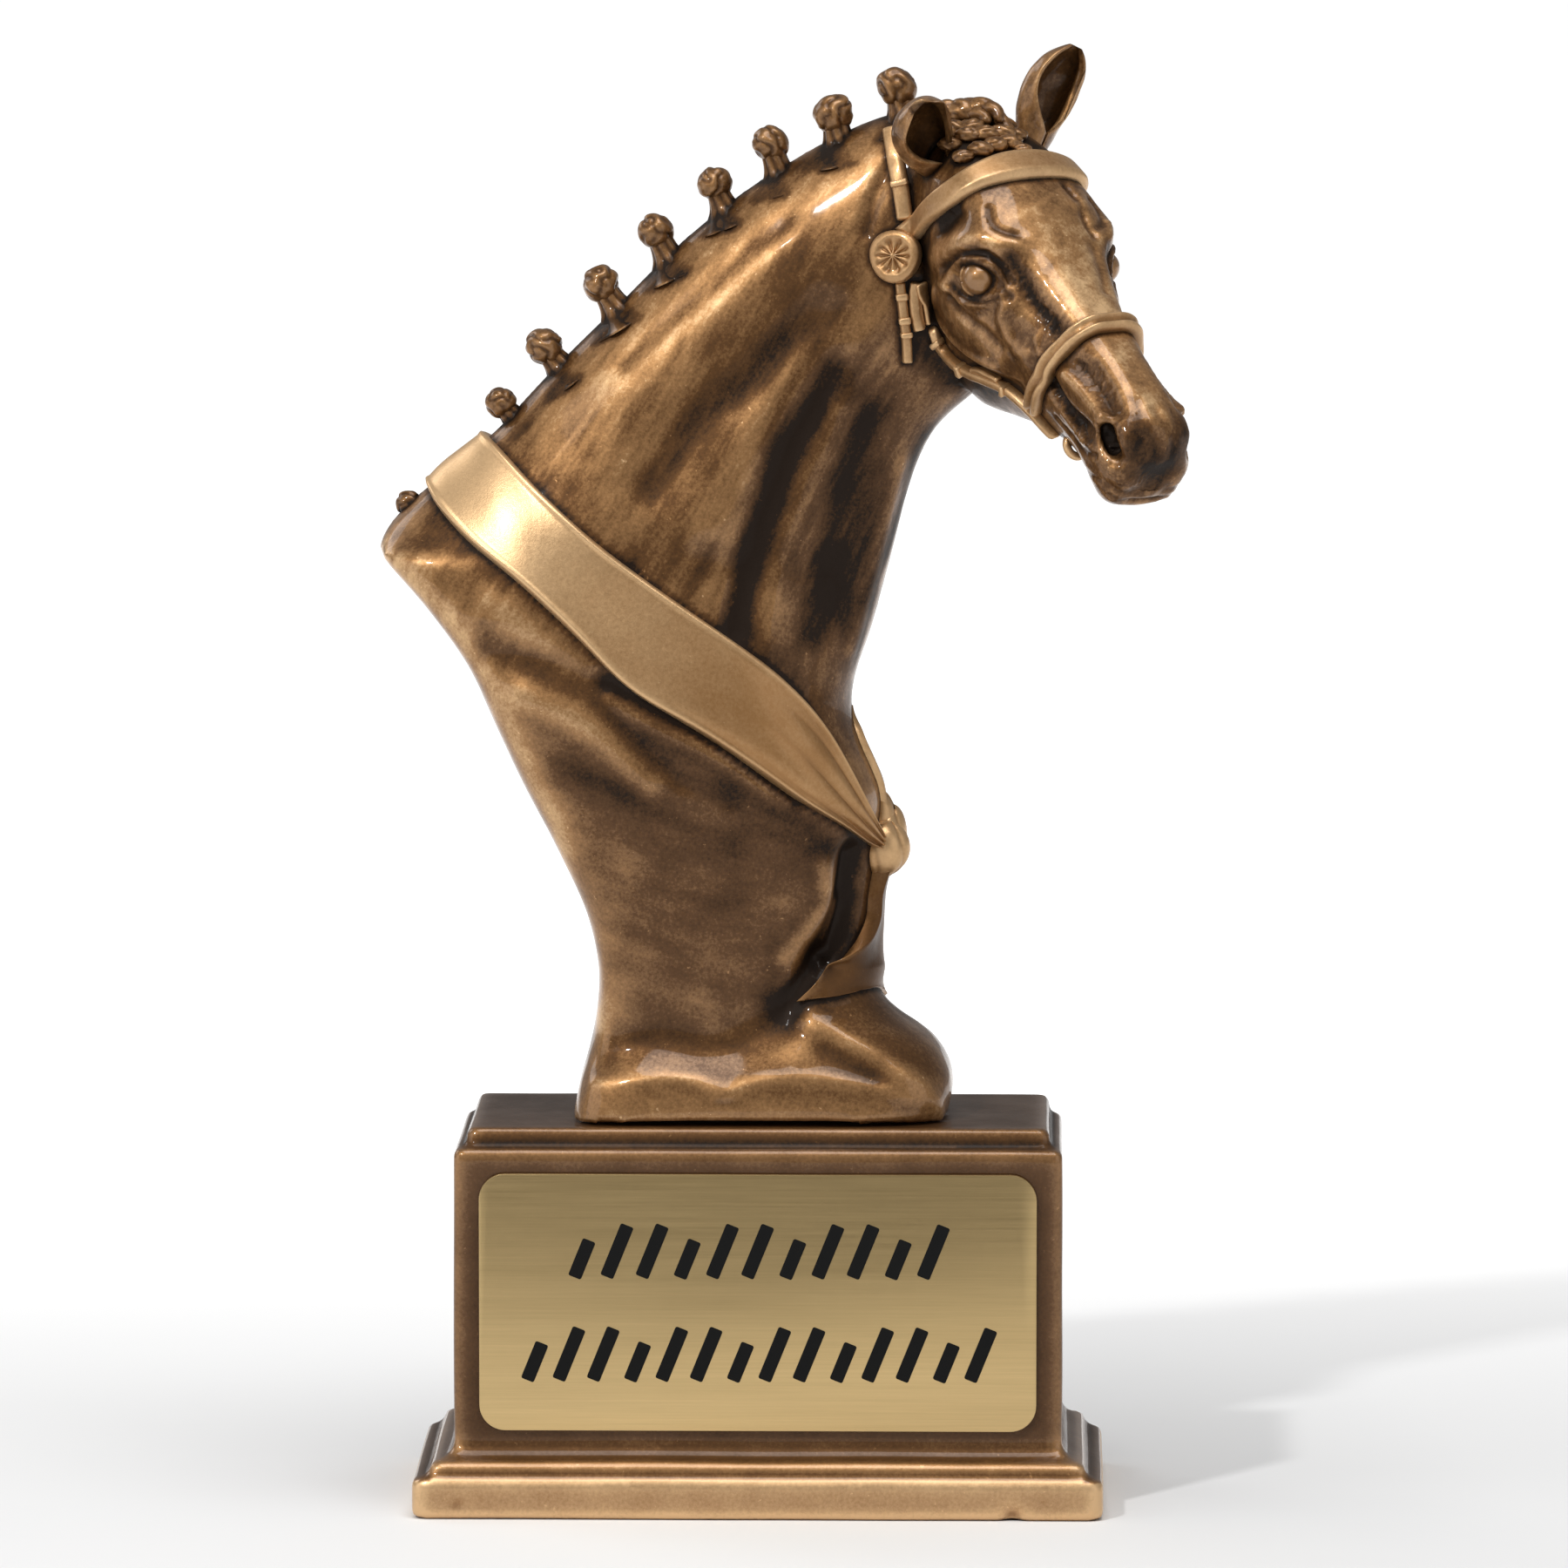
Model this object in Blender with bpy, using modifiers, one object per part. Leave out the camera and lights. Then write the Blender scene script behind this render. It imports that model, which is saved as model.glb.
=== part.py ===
"""Horse trophy: bust of a plaited show horse, cast on a stepped plinth with a name plate.

The origin is the middle of the plinth's underside. +X is the side that the chest faces,
-Y is the front with the name plate and +Z is up. Sizes named *_MM are millimetres.
"""
import math

import bmesh
import bpy
import numpy as np
from mathutils import Matrix, Vector
from mathutils.bvhtree import BVHTree

MM = 0.001

# Driving sizes of the plinth: the die is its plain block, between the foot and the top step
PLINTH_HEIGHT_MM = 48.6
DIE_WIDTH_MM, DIE_DEPTH_MM = 76.0, 36.0
FOOT_OUT_MM, FOOT_HEIGHT_MM = (5.2, 4.0), 5.2
MOULDING_OUT_MM, COVE_RADIUS_MM = 3.0, 2.2
STEP_IN_MM, STEP_HEIGHT_MM = 1.5, 2.4
FOOT_CORNER_MM, DIE_CORNER_MM = 1.8, 0.8

# Name plate, stuck on the middle of the die's front, with rows of grooves: how far each row is
# over the plate's middle, the share of its width, and how many grooves
PLATE_MARGIN_MM = (3.2, 1.9)
PLATE_THICK_MM, PLATE_CORNER_MM = 0.6, 3.3
ROW_OVER_MM, ROW_SHARES, ROW_COUNTS = (6.5, -6.5), (0.63, 0.80), (11, 14)
GROOVE_WIDE_MM, GROOVE_TALL_MM, GROOVE_DEPTH_MM, GROOVE_LEAN = 1.7, 7.0, 0.2, math.radians(22)
SHORT_GROOVE = 0.72

# Gap between pieces that rest on each other
GAP_MM = 0.3

# The bust's real height, and the height that its forms below are drawn at, from the plinth's top
BUST_HEIGHT_MM = 133.5
DRAWN_HEIGHT = 133.5
UNIT = BUST_HEIGHT_MM * MM / DRAWN_HEIGHT
BUST_TRIANGLES = 8200
BUTTON_LUMPS = 5

# The trunk's rings, in hundredths of the bust's height, from the plinth's top up: the back's and the
# front's place along X and Z, half the thickness, the share of the way from back to front that
# is widest, and how square the back is and the front is (2 is round)
TRUNK_RINGS = [
    (-18, -2, 17.6, -2, 11.2, 0.5, 7, 4.5),
    (-17.6, 0, 17.6, 0, 11.2, 0.5, 7, 4.5),
    (-17, 3.2, 18.2, 3.4, 10.9, 0.5, 7, 4),
    (-15.9, 7.2, 16.4, 7, 9.8, 0.5, 7, 3.2),
    (-15.3, 11, 12, 10.4, 8.6, 0.5, 7, 2.6),
    (-15.2, 14.6, 10.4, 14.6, 8.4, 0.5, 7, 2.4),
    (-16.3, 20, 10.7, 20, 9.2, 0.5, 7, 2.3),
    (-18.9, 25.6, 11.2, 25.6, 10.4, 0.52, 7, 2.3),
    (-22, 31.4, 11.4, 31.2, 11.4, 0.55, 7, 2.2),
    (-24.8, 37.4, 8.8, 37, 11.4, 0.55, 7, 2.2),
    (-27.4, 43, 8.8, 41, 10.8, 0.55, 7, 2.2),
    (-31.4, 48.4, 10.4, 45.8, 10, 0.56, 7, 2.2),
    (-35.2, 52.6, 11.6, 50.2, 9.2, 0.58, 6, 2.2),
    (-35.7, 54, 12.2, 52.4, 9, 0.58, 3.5, 2.2),
    (-34, 56.6, 12.8, 54.8, 8.9, 0.58, 2.4, 2.2),
    (-30, 60.2, 13.7, 58.4, 8.6, 0.58, 1.9, 2.2),
    (-24.8, 64.5, 15, 62.2, 8.3, 0.57, 1.8, 2.2),
    (-19.5, 70.2, 16.8, 65.2, 7.9, 0.55, 1.8, 2.2),
    (-13.6, 76, 20, 68, 7.6, 0.53, 1.8, 2.2),
    (-8, 81.6, 23, 70.6, 7.4, 0.52, 1.8, 2.2),
    (-2.2, 86.4, 25.5, 73.6, 7.2, 0.5, 1.8, 2.2),
    (4, 90.4, 27.5, 77.4, 7, 0.5, 1.8, 2.2),
    (10, 93.4, 28.5, 82, 6.6, 0.5, 1.9, 2.2),
    (15.5, 95, 28, 87, 5.6, 0.5, 2, 2.2),
]

# The head's rings along the face, in shares of its length from the poll: the top and the
# underside, the half widths at the top, the middle and low down, and the heights of those two
HEAD_RINGS = [
    (-0.12, -0.1, -0.26, 0.035, 0.07, 0.05, -0.16, -0.2),
    (-0.06, -0.03, -0.34, 0.06, 0.105, 0.075, -0.14, -0.25),
    (0.02, 0.02, -0.4, 0.085, 0.135, 0.095, -0.12, -0.29),
    (0.12, 0.045, -0.445, 0.115, 0.158, 0.11, -0.1, -0.32),
    (0.22, 0.052, -0.47, 0.135, 0.17, 0.12, -0.1, -0.33),
    (0.32, 0.046, -0.47, 0.146, 0.176, 0.125, -0.1, -0.33),
    (0.4, 0.026, -0.466, 0.12, 0.163, 0.12, -0.11, -0.33),
    (0.5, 0.002, -0.412, 0.09, 0.135, 0.104, -0.13, -0.29),
    (0.6, -0.018, -0.358, 0.07, 0.112, 0.088, -0.14, -0.258),
    (0.7, -0.03, -0.318, 0.062, 0.1, 0.078, -0.145, -0.24),
    (0.78, -0.034, -0.305, 0.06, 0.1, 0.078, -0.15, -0.238),
    (0.86, -0.044, -0.298, 0.064, 0.112, 0.09, -0.16, -0.24),
    (0.92, -0.07, -0.292, 0.062, 0.108, 0.09, -0.172, -0.244),
    (0.966, -0.118, -0.26, 0.046, 0.08, 0.066, -0.185, -0.234),
]
POLL = (26.5, -4.5, 124.9)
HEAD_LENGTH = 57.5
HEAD_YAW, HEAD_PITCH, HEAD_ROLL = math.radians(55), math.radians(37), math.radians(2.5)

# A mark is (x, z) on the plane through the plinth's axis, as seen from EYE: the spot meant lies
# on the surface before or behind it. Marks and all sizes of the bust are in drawn millimetres
EYE_DISTANCE, EYE_AZIMUTH, EYE_ELEVATION = 1500.0, math.radians(1.2), math.radians(6.6)
EYE_TARGET = (2.9, 0.0, 41.4)

# Modelled forms: width and height of the stroke and its marks
HEAD_FORMS = {
    "brow": (1.2, 0.8, [(21.8, 107.6), (24.3, 109.2), (27.9, 109.7), (31, 108.5)]),
    "orbit": (3.2, 1.1, [(27.1, 104.7)]),
    "socket": (1.4, -1.2, [(25.2, 104.7), (28.7, 104.7)]),
    "upper_lid": (0.4, 0.35, [(23.4, 104.7), (24.7, 106.8), (27, 107.5), (29.5, 106.1), (30.6, 103.6)]),
    "lid_crease": (0.4, -0.35, [(23.1, 106.3), (24.7, 108.1), (27, 108.8), (30, 107.2), (31.3, 104.7)]),
    "lower_lid": (0.4, 0.3, [(23.4, 104.1), (25.4, 102.5), (27.7, 102), (30, 103.1)]),
    "under_eye": (0.45, -0.3, [(24, 102.7), (26.2, 101.1), (28.7, 101.1), (30.9, 102.5)]),
    "temple_hollow": (1.3, -0.7, [(23.2, 111.8), (24.7, 112.7)]),
    "facial_crest": (0.9, 0.7, [(30.1, 101.8), (30.4, 99.2), (31.4, 96.7), (33.1, 95.1)]),
    "nose_groove": (1.3, -0.9, [(31.8, 106.9), (33.4, 103.6), (35.6, 100), (37.4, 97.8)]),
    "nose_edge": (0.8, 0.5, [(31.6, 109.8), (34.5, 105.4), (38.1, 100.7), (40.7, 98.9)]),
    "cheek": (3, 0.9, [(25.8, 99.2), (28.3, 96)]),
    "cheek_rim": (0.8, -0.6, [(21.2, 101.8), (22.3, 98.9), (25.1, 95.6), (28.7, 93.2), (32.3, 91.4)]),
    "nose_muscle": (0.9, 0.7, [(38.3, 92.7), (40.3, 90.2), (42.4, 87.2)]),
    "muscle_front": (0.6, -0.5, [(41.6, 94), (43.6, 90.9), (44.9, 88)]),
    "muscle_back": (0.8, -0.7, [(36.3, 92), (38.2, 88.7), (40.4, 85.8)]),
    "nostril_rim": (0.9, 0.8, [(43.1, 86.7), (44.7, 86.9), (45.7, 84.7), (45.6, 82.1)]),
    "nostril": (0.6, -1.8, [(43.4, 85.8), (44, 84), (44.7, 82.9)]),
    "mouth": (0.4, -0.9, [(38.2, 86.5), (40.4, 82.9), (42.9, 79.8), (46.6, 78.7), (50.6, 79.2)]),
    "upper_lip": (0.8, 0.4, [(41.5, 83.6), (44, 81), (47.3, 80)]),
    "chin": (1.2, 0.4, [(41.8, 78.8), (44, 77.6)]),
    "forehead_crease": (0.5, -0.4, [(28.7, 113.8), (29, 112), (30.5, 110.7), (32.5, 110.5)]),
    "muzzle": (2.2, 0.5, [(49.8, 85.4)]),
}
TRUNK_FORMS = {
    "chest_hollow": (2.1, -3.2, [(8.2, 36.5), (9.3, 30.4), (9.3, 26), (7.6, 21.5), (4.5, 14.9)]),
    "hollow_end": (1.6, -1.2, [(2.9, 21.5), (6.2, 23.5)]),
    "rock_ridge": (1, 0.8, [(4.3, 11.2), (7.3, 7.5), (11.7, 4.6), (16.8, 3.1), (21.2, 1.7)]),
    "crest": (3, 0.8, [(13.8, 116.5), (0.7, 108.3), (-12.4, 97.4), (-24.4, 84.2)]),
    "crest_groove": (2.6, -1.3, [(7.8, 103.4), (2.9, 99.6), (-2.6, 93), (-8, 85.3), (-14, 76)]),
    "jugular_groove": (2.4, -1.6, [(11.1, 91.9), (6.7, 83.2), (3.4, 72.2), (-1.5, 61.2), (-5.9, 56.8)]),
    "neck_muscle": (2.8, 1.1, [(14.3, 96.3), (12.2, 83.2), (8.4, 70), (5.6, 59)]),
    "neck_fold": (1.4, -0.9, [(3.4, 96.3), (0.7, 85.3), (-2.6, 74.4), (-5.8, 65.6)]),
    "low_fold": (1.2, -0.7, [(-5.8, 83.1), (-9.1, 74.4), (-12.4, 68.9)]),
    "shoulder": (4.5, 1.2, [(-29.9, 63.3), (-20.1, 53.5), (-8.1, 43.6)]),
    "shoulder_groove": (2.4, -1.4, [(-34.3, 58.4), (-25.6, 51.2), (-15.7, 43.6), (-4.8, 37.5),
        (6.2, 32.6)]),
    "breast": (6, 1.8, [(-14.6, 30.3), (-1.5, 25.9)]),
    "breast_top": (2.5, -1, [(-19, 36.9), (-10.3, 32), (-1.5, 31.5)]),
    "breast_under": (2, -1.1, [(-12.5, 20.4), (-2.6, 18.2), (5.1, 23.7)]),
    "rock_edge": (1.3, 0.8, [(-19.1, 6.5), (-10.3, 8.8), (-1.5, 9.3), (7.3, 8.3)]),
    "rock_dip": (1.8, -0.9, [(-9.2, 10.4), (-3.7, 11.6), (2.9, 10.5)]),
}

# Sash over the withers: its two edges on the near side, from the withers to the knot
SASH_UPPER = [(-35.5, 86.7), (-32.1, 83.1), (-28.2, 78.7), (-21.1, 72.1), (-12.4, 65.6), (-3.7, 59.5),
        (2.9, 54.6),
        (7.3, 49.1), (10.6, 42.5), (14.2, 35.9)]
SASH_LOWER = [(-42.4, 80), (-40.8, 76.5), (-36.5, 71.6), (-31, 67.2), (-23.4, 60.1), (-16.8, 53.5),
        (-8, 48),
        (-1.5, 43.6), (4.5, 39.2), (11.1, 34.6)]
SASH_THICK, SASH_DEPTH = 1.5, 1.4
# Knot at the breast: marks, Y and radii of its two lumps, and how far the first one leans
KNOT_MARK, KNOT_Y, KNOT_RADII, KNOT_LEAN = (15.7, 34.2), 0.0, (2.5, 3.6, 4.6), math.radians(8.6)
FOLD_MARK, FOLD_Y, FOLD_RADII = (14.7, 37.2), -1.0, (2.2, 2.2, 3.5)
# Hanging tail of the sash: its near edge, and its far edge at a Y of its own
TAIL_Y, TAIL_THICK, TAIL_DEPTH = 4.0, 1.4, 3.0
TAIL_NEAR = [(14.3, 32.1), (13.5, 27.4), (13.3, 24.9), (12.4, 22.3), (10.6, 19.7), (8.4, 17.5), (4.8, 13.8)]
TAIL_FAR = [(15.6, 32.1), (15.2, 27.4), (14.9, 24.9), (14.7, 22.3), (14.6, 19.7), (14.6, 17.5),
        (14.8, 13.8)]

# Bridle straps: width, thickness and marks
STRAPS = {
    "browband": (2.6, 1.3, [(18.1, 111.2), (21.8, 114.1), (25.4, 116.7), (29, 118.7), (33, 119.8),
        (35.9, 119.6), (38.1, 118.2)]),
    "crown_strap": (2.1, 1.1, [(18.1, 112.3), (17.6, 115.9), (16.9, 119.9), (16.3, 123.6)]),
    "throat_strap": (1.3, 1.1, [(17.4, 104.7), (17.8, 101), (18.2, 97.4), (18.3, 94.5)]),
    "cheek_strap": (1.3, 1.1, [(19.4, 104), (19.6, 101.4), (19.9, 98.9)]),
    "jaw_strap": (1.3, 1.2, [(21.3, 99), (23.3, 96.1), (25.8, 93.8), (28.7, 92.5), (31.3, 91.2),
        (34.2, 88.7), (37.4, 85.4)]),
    "noseband": (2.4, 1.4, [(34.4, 88.7), (34.9, 91.6), (36.3, 94.5), (38.9, 97.1), (41.8, 99.1),
        (44.1, 99.4), (45.8, 98.6)]),
}
ROSETTE_MARK, ROSETTE_RADIUS = (17.2, 107.8), 3.0
EYEBALL_MARK, EYEBALL_RADIUS = (27.1, 105), 2.1
BIT_MARK, BIT_Y, BIT_RADIUS, BIT_WIRE = (39, 84.1), -24.0, 1.6, 0.6
BIT_TURN = (math.radians(75), 0, math.radians(35))

# Button plaits along the crest: mark and size of the button, mark of its foot, and Y
PLAITS = [
    ((17, 129), 5.5, (18.1, 124.7), -1.2),
    ((9.1, 125.7), 5.4, (10, 120.8), -0.6),
    ((1.2, 121.9), 5.0, (2.6, 117.2), 0),
    ((-5.8, 117), 4.8, (-4.2, 112.9), 0),
    ((-13.1, 111), 5.1, (-11.1, 106.6), 0),
    ((-20, 104.4), 5.3, (-17.6, 100.4), 0),
    ((-27.1, 96.5), 5.3, (-24.4, 93), 0),
    ((-32.6, 89.4), 4.4, (-30.2, 86.7), 0),
    ((-44.1, 76.7), 3.7, (-41.9, 75.2), 0),
]
# Knotted forelock between the ears: mark, radius and Y of each lump
FORELOCK = [
    ((21.4, 126), 1.6, -3),
    ((23.4, 125.8), 1.9, -4),
    ((25.3, 125.8), 2.0, -5),
    ((27.3, 126), 2.0, -5),
    ((28.8, 124.9), 1.8, -4),
    ((30.1, 123.8), 1.8, -4),
    ((24.2, 123.4), 1.8, -9),
    ((26.4, 123.4), 1.9, -9),
    ((28.6, 122.3), 1.8, -9),
    ((31, 121.8), 1.3, -5),
]
# Ears: base and tip as mark and Y, way that the opening faces, half width
EARS = {
    "ear_near": ((22.2, 119.0), -9.5, (19.6, 126.6), -18.5, (0.4, -0.88, 0.1), 4.5),
    "ear_far": ((33.6, 121), 0.0, (39.3, 134.1), 1.5, (0.8, -0.6, 0.0), 4.3),
}


def axes_of_head():
    """unit vectors along the face, to the near side and up from the forehead"""
    along = np.array([math.cos(HEAD_PITCH) * math.cos(HEAD_YAW),
                      -math.cos(HEAD_PITCH) * math.sin(HEAD_YAW), -math.sin(HEAD_PITCH)])
    side = np.array([-math.sin(HEAD_YAW), -math.cos(HEAD_YAW), 0.0])
    top = np.cross(side, along)
    top = top if top[2] > 0 else -top
    c, s = math.cos(HEAD_ROLL), math.sin(HEAD_ROLL)
    return np.array([along, side * c - top * s, top * c + side * s])


HEAD_AXES = axes_of_head()


def head_point(u, v, w):
    """point of the head from shares of its length along, to the near side and up"""
    return np.array(POLL) * UNIT + HEAD_LENGTH * UNIT * (np.array([u, v, w]) @ HEAD_AXES)


def mirrored_on_head(point):
    local = HEAD_AXES @ (np.array(point) - np.array(POLL) * UNIT) / (HEAD_LENGTH * UNIT)
    return head_point(local[0], -local[1], local[2])


def mirrored_on_trunk(point):
    return np.array([point[0], -point[1], point[2]])


def catmull(rows, t):
    """smooth value at t, counted in rows"""
    rows = np.asarray(rows, float)
    i = int(min(max(math.floor(t), 0), len(rows) - 2))
    f = t - i
    b, c = rows[i], rows[i + 1]
    a = rows[i - 1] if i > 0 else 2 * b - c
    d = rows[i + 2] if i + 2 < len(rows) else 2 * c - b
    return 0.5 * (2 * b + (c - a) * f + (2 * a - 5 * b + 4 * c - d) * f ** 2
                  + (3 * b - a - 3 * c + d) * f ** 3)


def smooth_line(points, count):
    """count points evenly along a smooth curve through the given ones"""
    points = np.array(points, float)
    run = np.concatenate([[0], np.cumsum(np.linalg.norm(np.diff(points, axis=0), axis=1))])
    at = np.interp(np.linspace(0, run[-1], count), run, np.arange(len(points)))
    return np.array([catmull(points, t) for t in at])


def new_object(name, mesh):
    obj = bpy.data.objects.new(name, mesh)
    bpy.context.scene.collection.objects.link(obj)
    return obj


def loft(name, rings):
    """closed tube through rings of equally many points"""
    bm = bmesh.new()
    rows = [[bm.verts.new(tuple(p)) for p in ring] for ring in rings]
    count = len(rows[0])
    for low, high in zip(rows, rows[1:]):
        for k in range(count):
            bm.faces.new((low[k], low[(k + 1) % count], high[(k + 1) % count], high[k]))
    bm.faces.new(rows[0][::-1])
    bm.faces.new(rows[-1])
    bmesh.ops.recalc_face_normals(bm, faces=bm.faces)
    mesh = bpy.data.meshes.new(name)
    bm.to_mesh(mesh)
    bm.free()
    return new_object(name, mesh)


def trunk_ring(row, sides=40):
    back_x, back_z, front_x, front_z, half, widest, back_square, front_square = row
    hundredth = BUST_HEIGHT_MM * MM / 100
    back, front = np.array([back_x, 0, back_z]), np.array([front_x, 0, front_z])
    middle = back + (front - back) * widest
    ring = []
    for k in range(sides):
        angle = 2 * math.pi * k / sides
        c, s = math.cos(angle), math.sin(angle)
        end, square = (front, front_square) if c > 0 else (back, back_square)
        point = middle + (end - middle) * abs(c) ** (2 / square)
        point = point - np.array([0, math.copysign(abs(s) ** (2 / square), s) * half, 0])
        ring.append(point * hundredth)
    return ring


def head_ring(row, sides=40):
    u, top, under, wide_top, wide_mid, wide_low, mid, low = row
    shoulder = top - 0.22 * wide_top
    corners = [(0, top), (wide_top, shoulder), (wide_mid, mid), (wide_low, low), (0, under),
               (-wide_low, low), (-wide_mid, mid), (-wide_top, shoulder)]
    closed = np.array(corners[-1:] + corners + corners[:2])
    count = len(corners)
    return [head_point(u, *catmull(closed, 1 + count * k / sides)) for k in range(sides)]


def lofted(name, rows, ring, steps=3):
    count = (len(rows) - 1) * steps
    return loft(name, [ring(catmull(rows, i / steps)) for i in range(count + 1)])


def apply_modifier(obj, kind, **settings):
    """run one modifier and keep its result as the object's mesh"""
    modifier = obj.modifiers.new(kind.title(), kind)
    for key, value in settings.items():
        setattr(modifier, key, value)
    mesh = bpy.data.meshes.new_from_object(obj.evaluated_get(bpy.context.evaluated_depsgraph_get()))
    obj.modifiers.remove(modifier)
    obj.data = mesh


def joined(name, objects):
    bm = bmesh.new()
    for obj in objects:
        bm.from_mesh(obj.data)
        bpy.data.objects.remove(obj)
    mesh = bpy.data.meshes.new(name)
    bm.to_mesh(mesh)
    bm.free()
    return new_object(name, mesh)


def surface_of(obj):
    return BVHTree.FromPolygons([v.co for v in obj.data.vertices], [p.vertices for p in obj.data.polygons])


def eye_and_ray(mark):
    c, s = math.cos(EYE_ELEVATION), math.sin(EYE_ELEVATION)
    back = Vector((math.sin(EYE_AZIMUTH) * c, -math.cos(EYE_AZIMUTH) * c, s))
    eye = (Vector(EYE_TARGET) + back * EYE_DISTANCE) * UNIT
    return eye, (Vector((mark[0], 0, mark[1])) * UNIT - eye).normalized()


def place(mark, y):
    """point with the given Y on the line of sight through a mark"""
    eye, ray = eye_and_ray(mark)
    return np.array(eye + ray * ((y * UNIT - eye.y) / ray.y))


def drop(surface, mark):
    """surface point and normal where the line of sight through a mark meets it or passes nearest"""
    eye, ray = eye_and_ray(mark)
    hit, normal, _, _ = surface.ray_cast(eye, ray)
    if hit is None:
        probe = Vector((mark[0], 0, mark[1])) * UNIT
        for _ in range(6):
            hit, normal, _, _ = surface.find_nearest(probe)
            probe = eye + ray * (hit - eye).dot(ray)
    return np.array(hit), np.array(normal)


def drop_all(surface, marks):
    return [drop(surface, mark)[0] for mark in marks]


def press_forms(obj, forms):
    """move the surface along its normals by soft strokes of (width, height, points)"""
    mesh = obj.data
    co = np.array([v.co for v in mesh.vertices])
    normals = np.array([v.normal for v in mesh.vertices])
    lift = np.zeros(len(co))
    for width, height, points in forms:
        line = smooth_line(points, 4 * len(points)) if len(points) > 1 else np.array(points * 2)
        inside = ((co > line.min(0) - 4 * width) & (co < line.max(0) + 4 * width)).all(1)
        near = np.where(inside)[0]
        best = np.full(len(near), 1.0)
        for a, b in zip(line, line[1:]):
            run = b - a
            t = np.clip((co[near] - a) @ run / max(run @ run, 1e-18), 0, 1)
            best = np.minimum(best, np.linalg.norm(co[near] - a - t[:, None] * run, axis=1))
        lift[near] += height * np.exp(-0.5 * (best / width) ** 2)
    mesh.vertices.foreach_set("co", (co + normals * lift[:, None]).ravel())
    mesh.update()


def band(name, surface, edge_a, edge_b, count, across, thick, depth):
    """closed band that hugs the surface between two edges"""
    line_a, line_b = smooth_line(edge_a, count), smooth_line(edge_b, count)
    spots, normals = np.zeros((count, across + 1, 3)), np.zeros((count, across + 1, 3))
    for i in range(count):
        for j in range(across + 1):
            share = j / across
            hit, normal, _, _ = surface.find_nearest(Vector(line_a[i] * (1 - share) + line_b[i] * share))
            spots[i, j], normals[i, j] = hit, normal
    for _ in range(3):
        soft = normals.copy()
        soft[1:-1] += normals[:-2] + normals[2:]
        normals = soft / np.linalg.norm(soft, axis=2)[:, :, None]
    rings = []
    for i in range(count):
        edge = [min(1.0, 0.45 + 4 * min(j, across - j) / across) for j in range(across + 1)]
        over = [spots[i, j] + normals[i, j] * thick * UNIT * edge[j] for j in range(across + 1)]
        under = [spots[i, j] - normals[i, j] * depth * UNIT for j in range(across + 1)]
        rings.append(over + under[::-1])
    return loft(name, rings)


def strap(name, surface, marks, width, thick, count=26, across=4):
    """strap of even width along marks"""
    line = smooth_line(drop_all(surface, marks), count)
    found = [surface.find_nearest(Vector(p)) for p in line]
    spots = np.array([f[0] for f in found])
    normals = np.array([f[1] for f in found])
    for _ in range(3):
        normals[1:-1] += normals[:-2] + normals[2:]
        normals /= np.linalg.norm(normals, axis=1)[:, None]
    runs = np.gradient(spots, axis=0)
    sides = np.cross(normals, runs)
    sides /= np.linalg.norm(sides, axis=1)[:, None]
    half = sides * width * UNIT / 2
    return band(name, surface, spots - half, spots + half, count, across, thick, 0.6)


def ball(name, centre, radii, turn=None):
    bm = bmesh.new()
    bmesh.ops.create_uvsphere(bm, u_segments=16, v_segments=10, radius=1)
    shape = Matrix.Diagonal((*radii, 1))
    if turn is not None:
        shape = turn.to_4x4() @ shape
    bmesh.ops.transform(bm, matrix=Matrix.Translation(Vector(centre)) @ shape, verts=bm.verts)
    mesh = bpy.data.meshes.new(name)
    bm.to_mesh(mesh)
    bm.free()
    return new_object(name, mesh)


def stalk(name, points, radii, sides=12):
    """round tube through points"""
    points = np.array(points)
    rings = []
    for point, run, radius in zip(points, np.gradient(points, axis=0), radii):
        side = np.cross(run, (0, 1, 0.01))
        side /= np.linalg.norm(side)
        over = np.cross(run / np.linalg.norm(run), side)
        angles = [2 * math.pi * k / sides for k in range(sides)]
        rings.append([point + radius * (math.cos(a) * side + math.sin(a) * over) for a in angles])
    return loft(name, rings)


def ear(name, base, tip, opening, half, steps=12, sides=20, wall=0.9):
    """leaf rolled into a cup: C-shaped rings from the base to the tip"""
    axis = (tip - base) / np.linalg.norm(tip - base)
    front = np.array(opening) - axis * np.dot(opening, axis)
    front /= np.linalg.norm(front)
    side = np.cross(axis, front)
    rings = []
    for i in range(steps + 1):
        t = i / steps
        wide = half * UNIT * max(0.05, 0.62 + 1.05 * t - 1.1 * t ** 2 - 0.57 * t ** 6)
        gap = math.radians(20 + 40 * min(1, t * 2.2))
        bow = 0.10 * math.sin(math.pi * t) * np.linalg.norm(tip - base)
        centre = base + (tip - base) * t - front * bow
        thick = min(wall * UNIT, wide * 0.45)
        turns = [gap + (2 * math.pi - 2 * gap) * k / sides for k in range(sides + 1)]
        ways = [front * math.cos(a) * 0.75 + side * math.sin(a) for a in turns]
        outer = [centre + way * wide for way in ways]
        rings.append(outer + [centre + way * (wide - thick) for way in ways[::-1]])
    return loft(name, rings)


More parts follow.
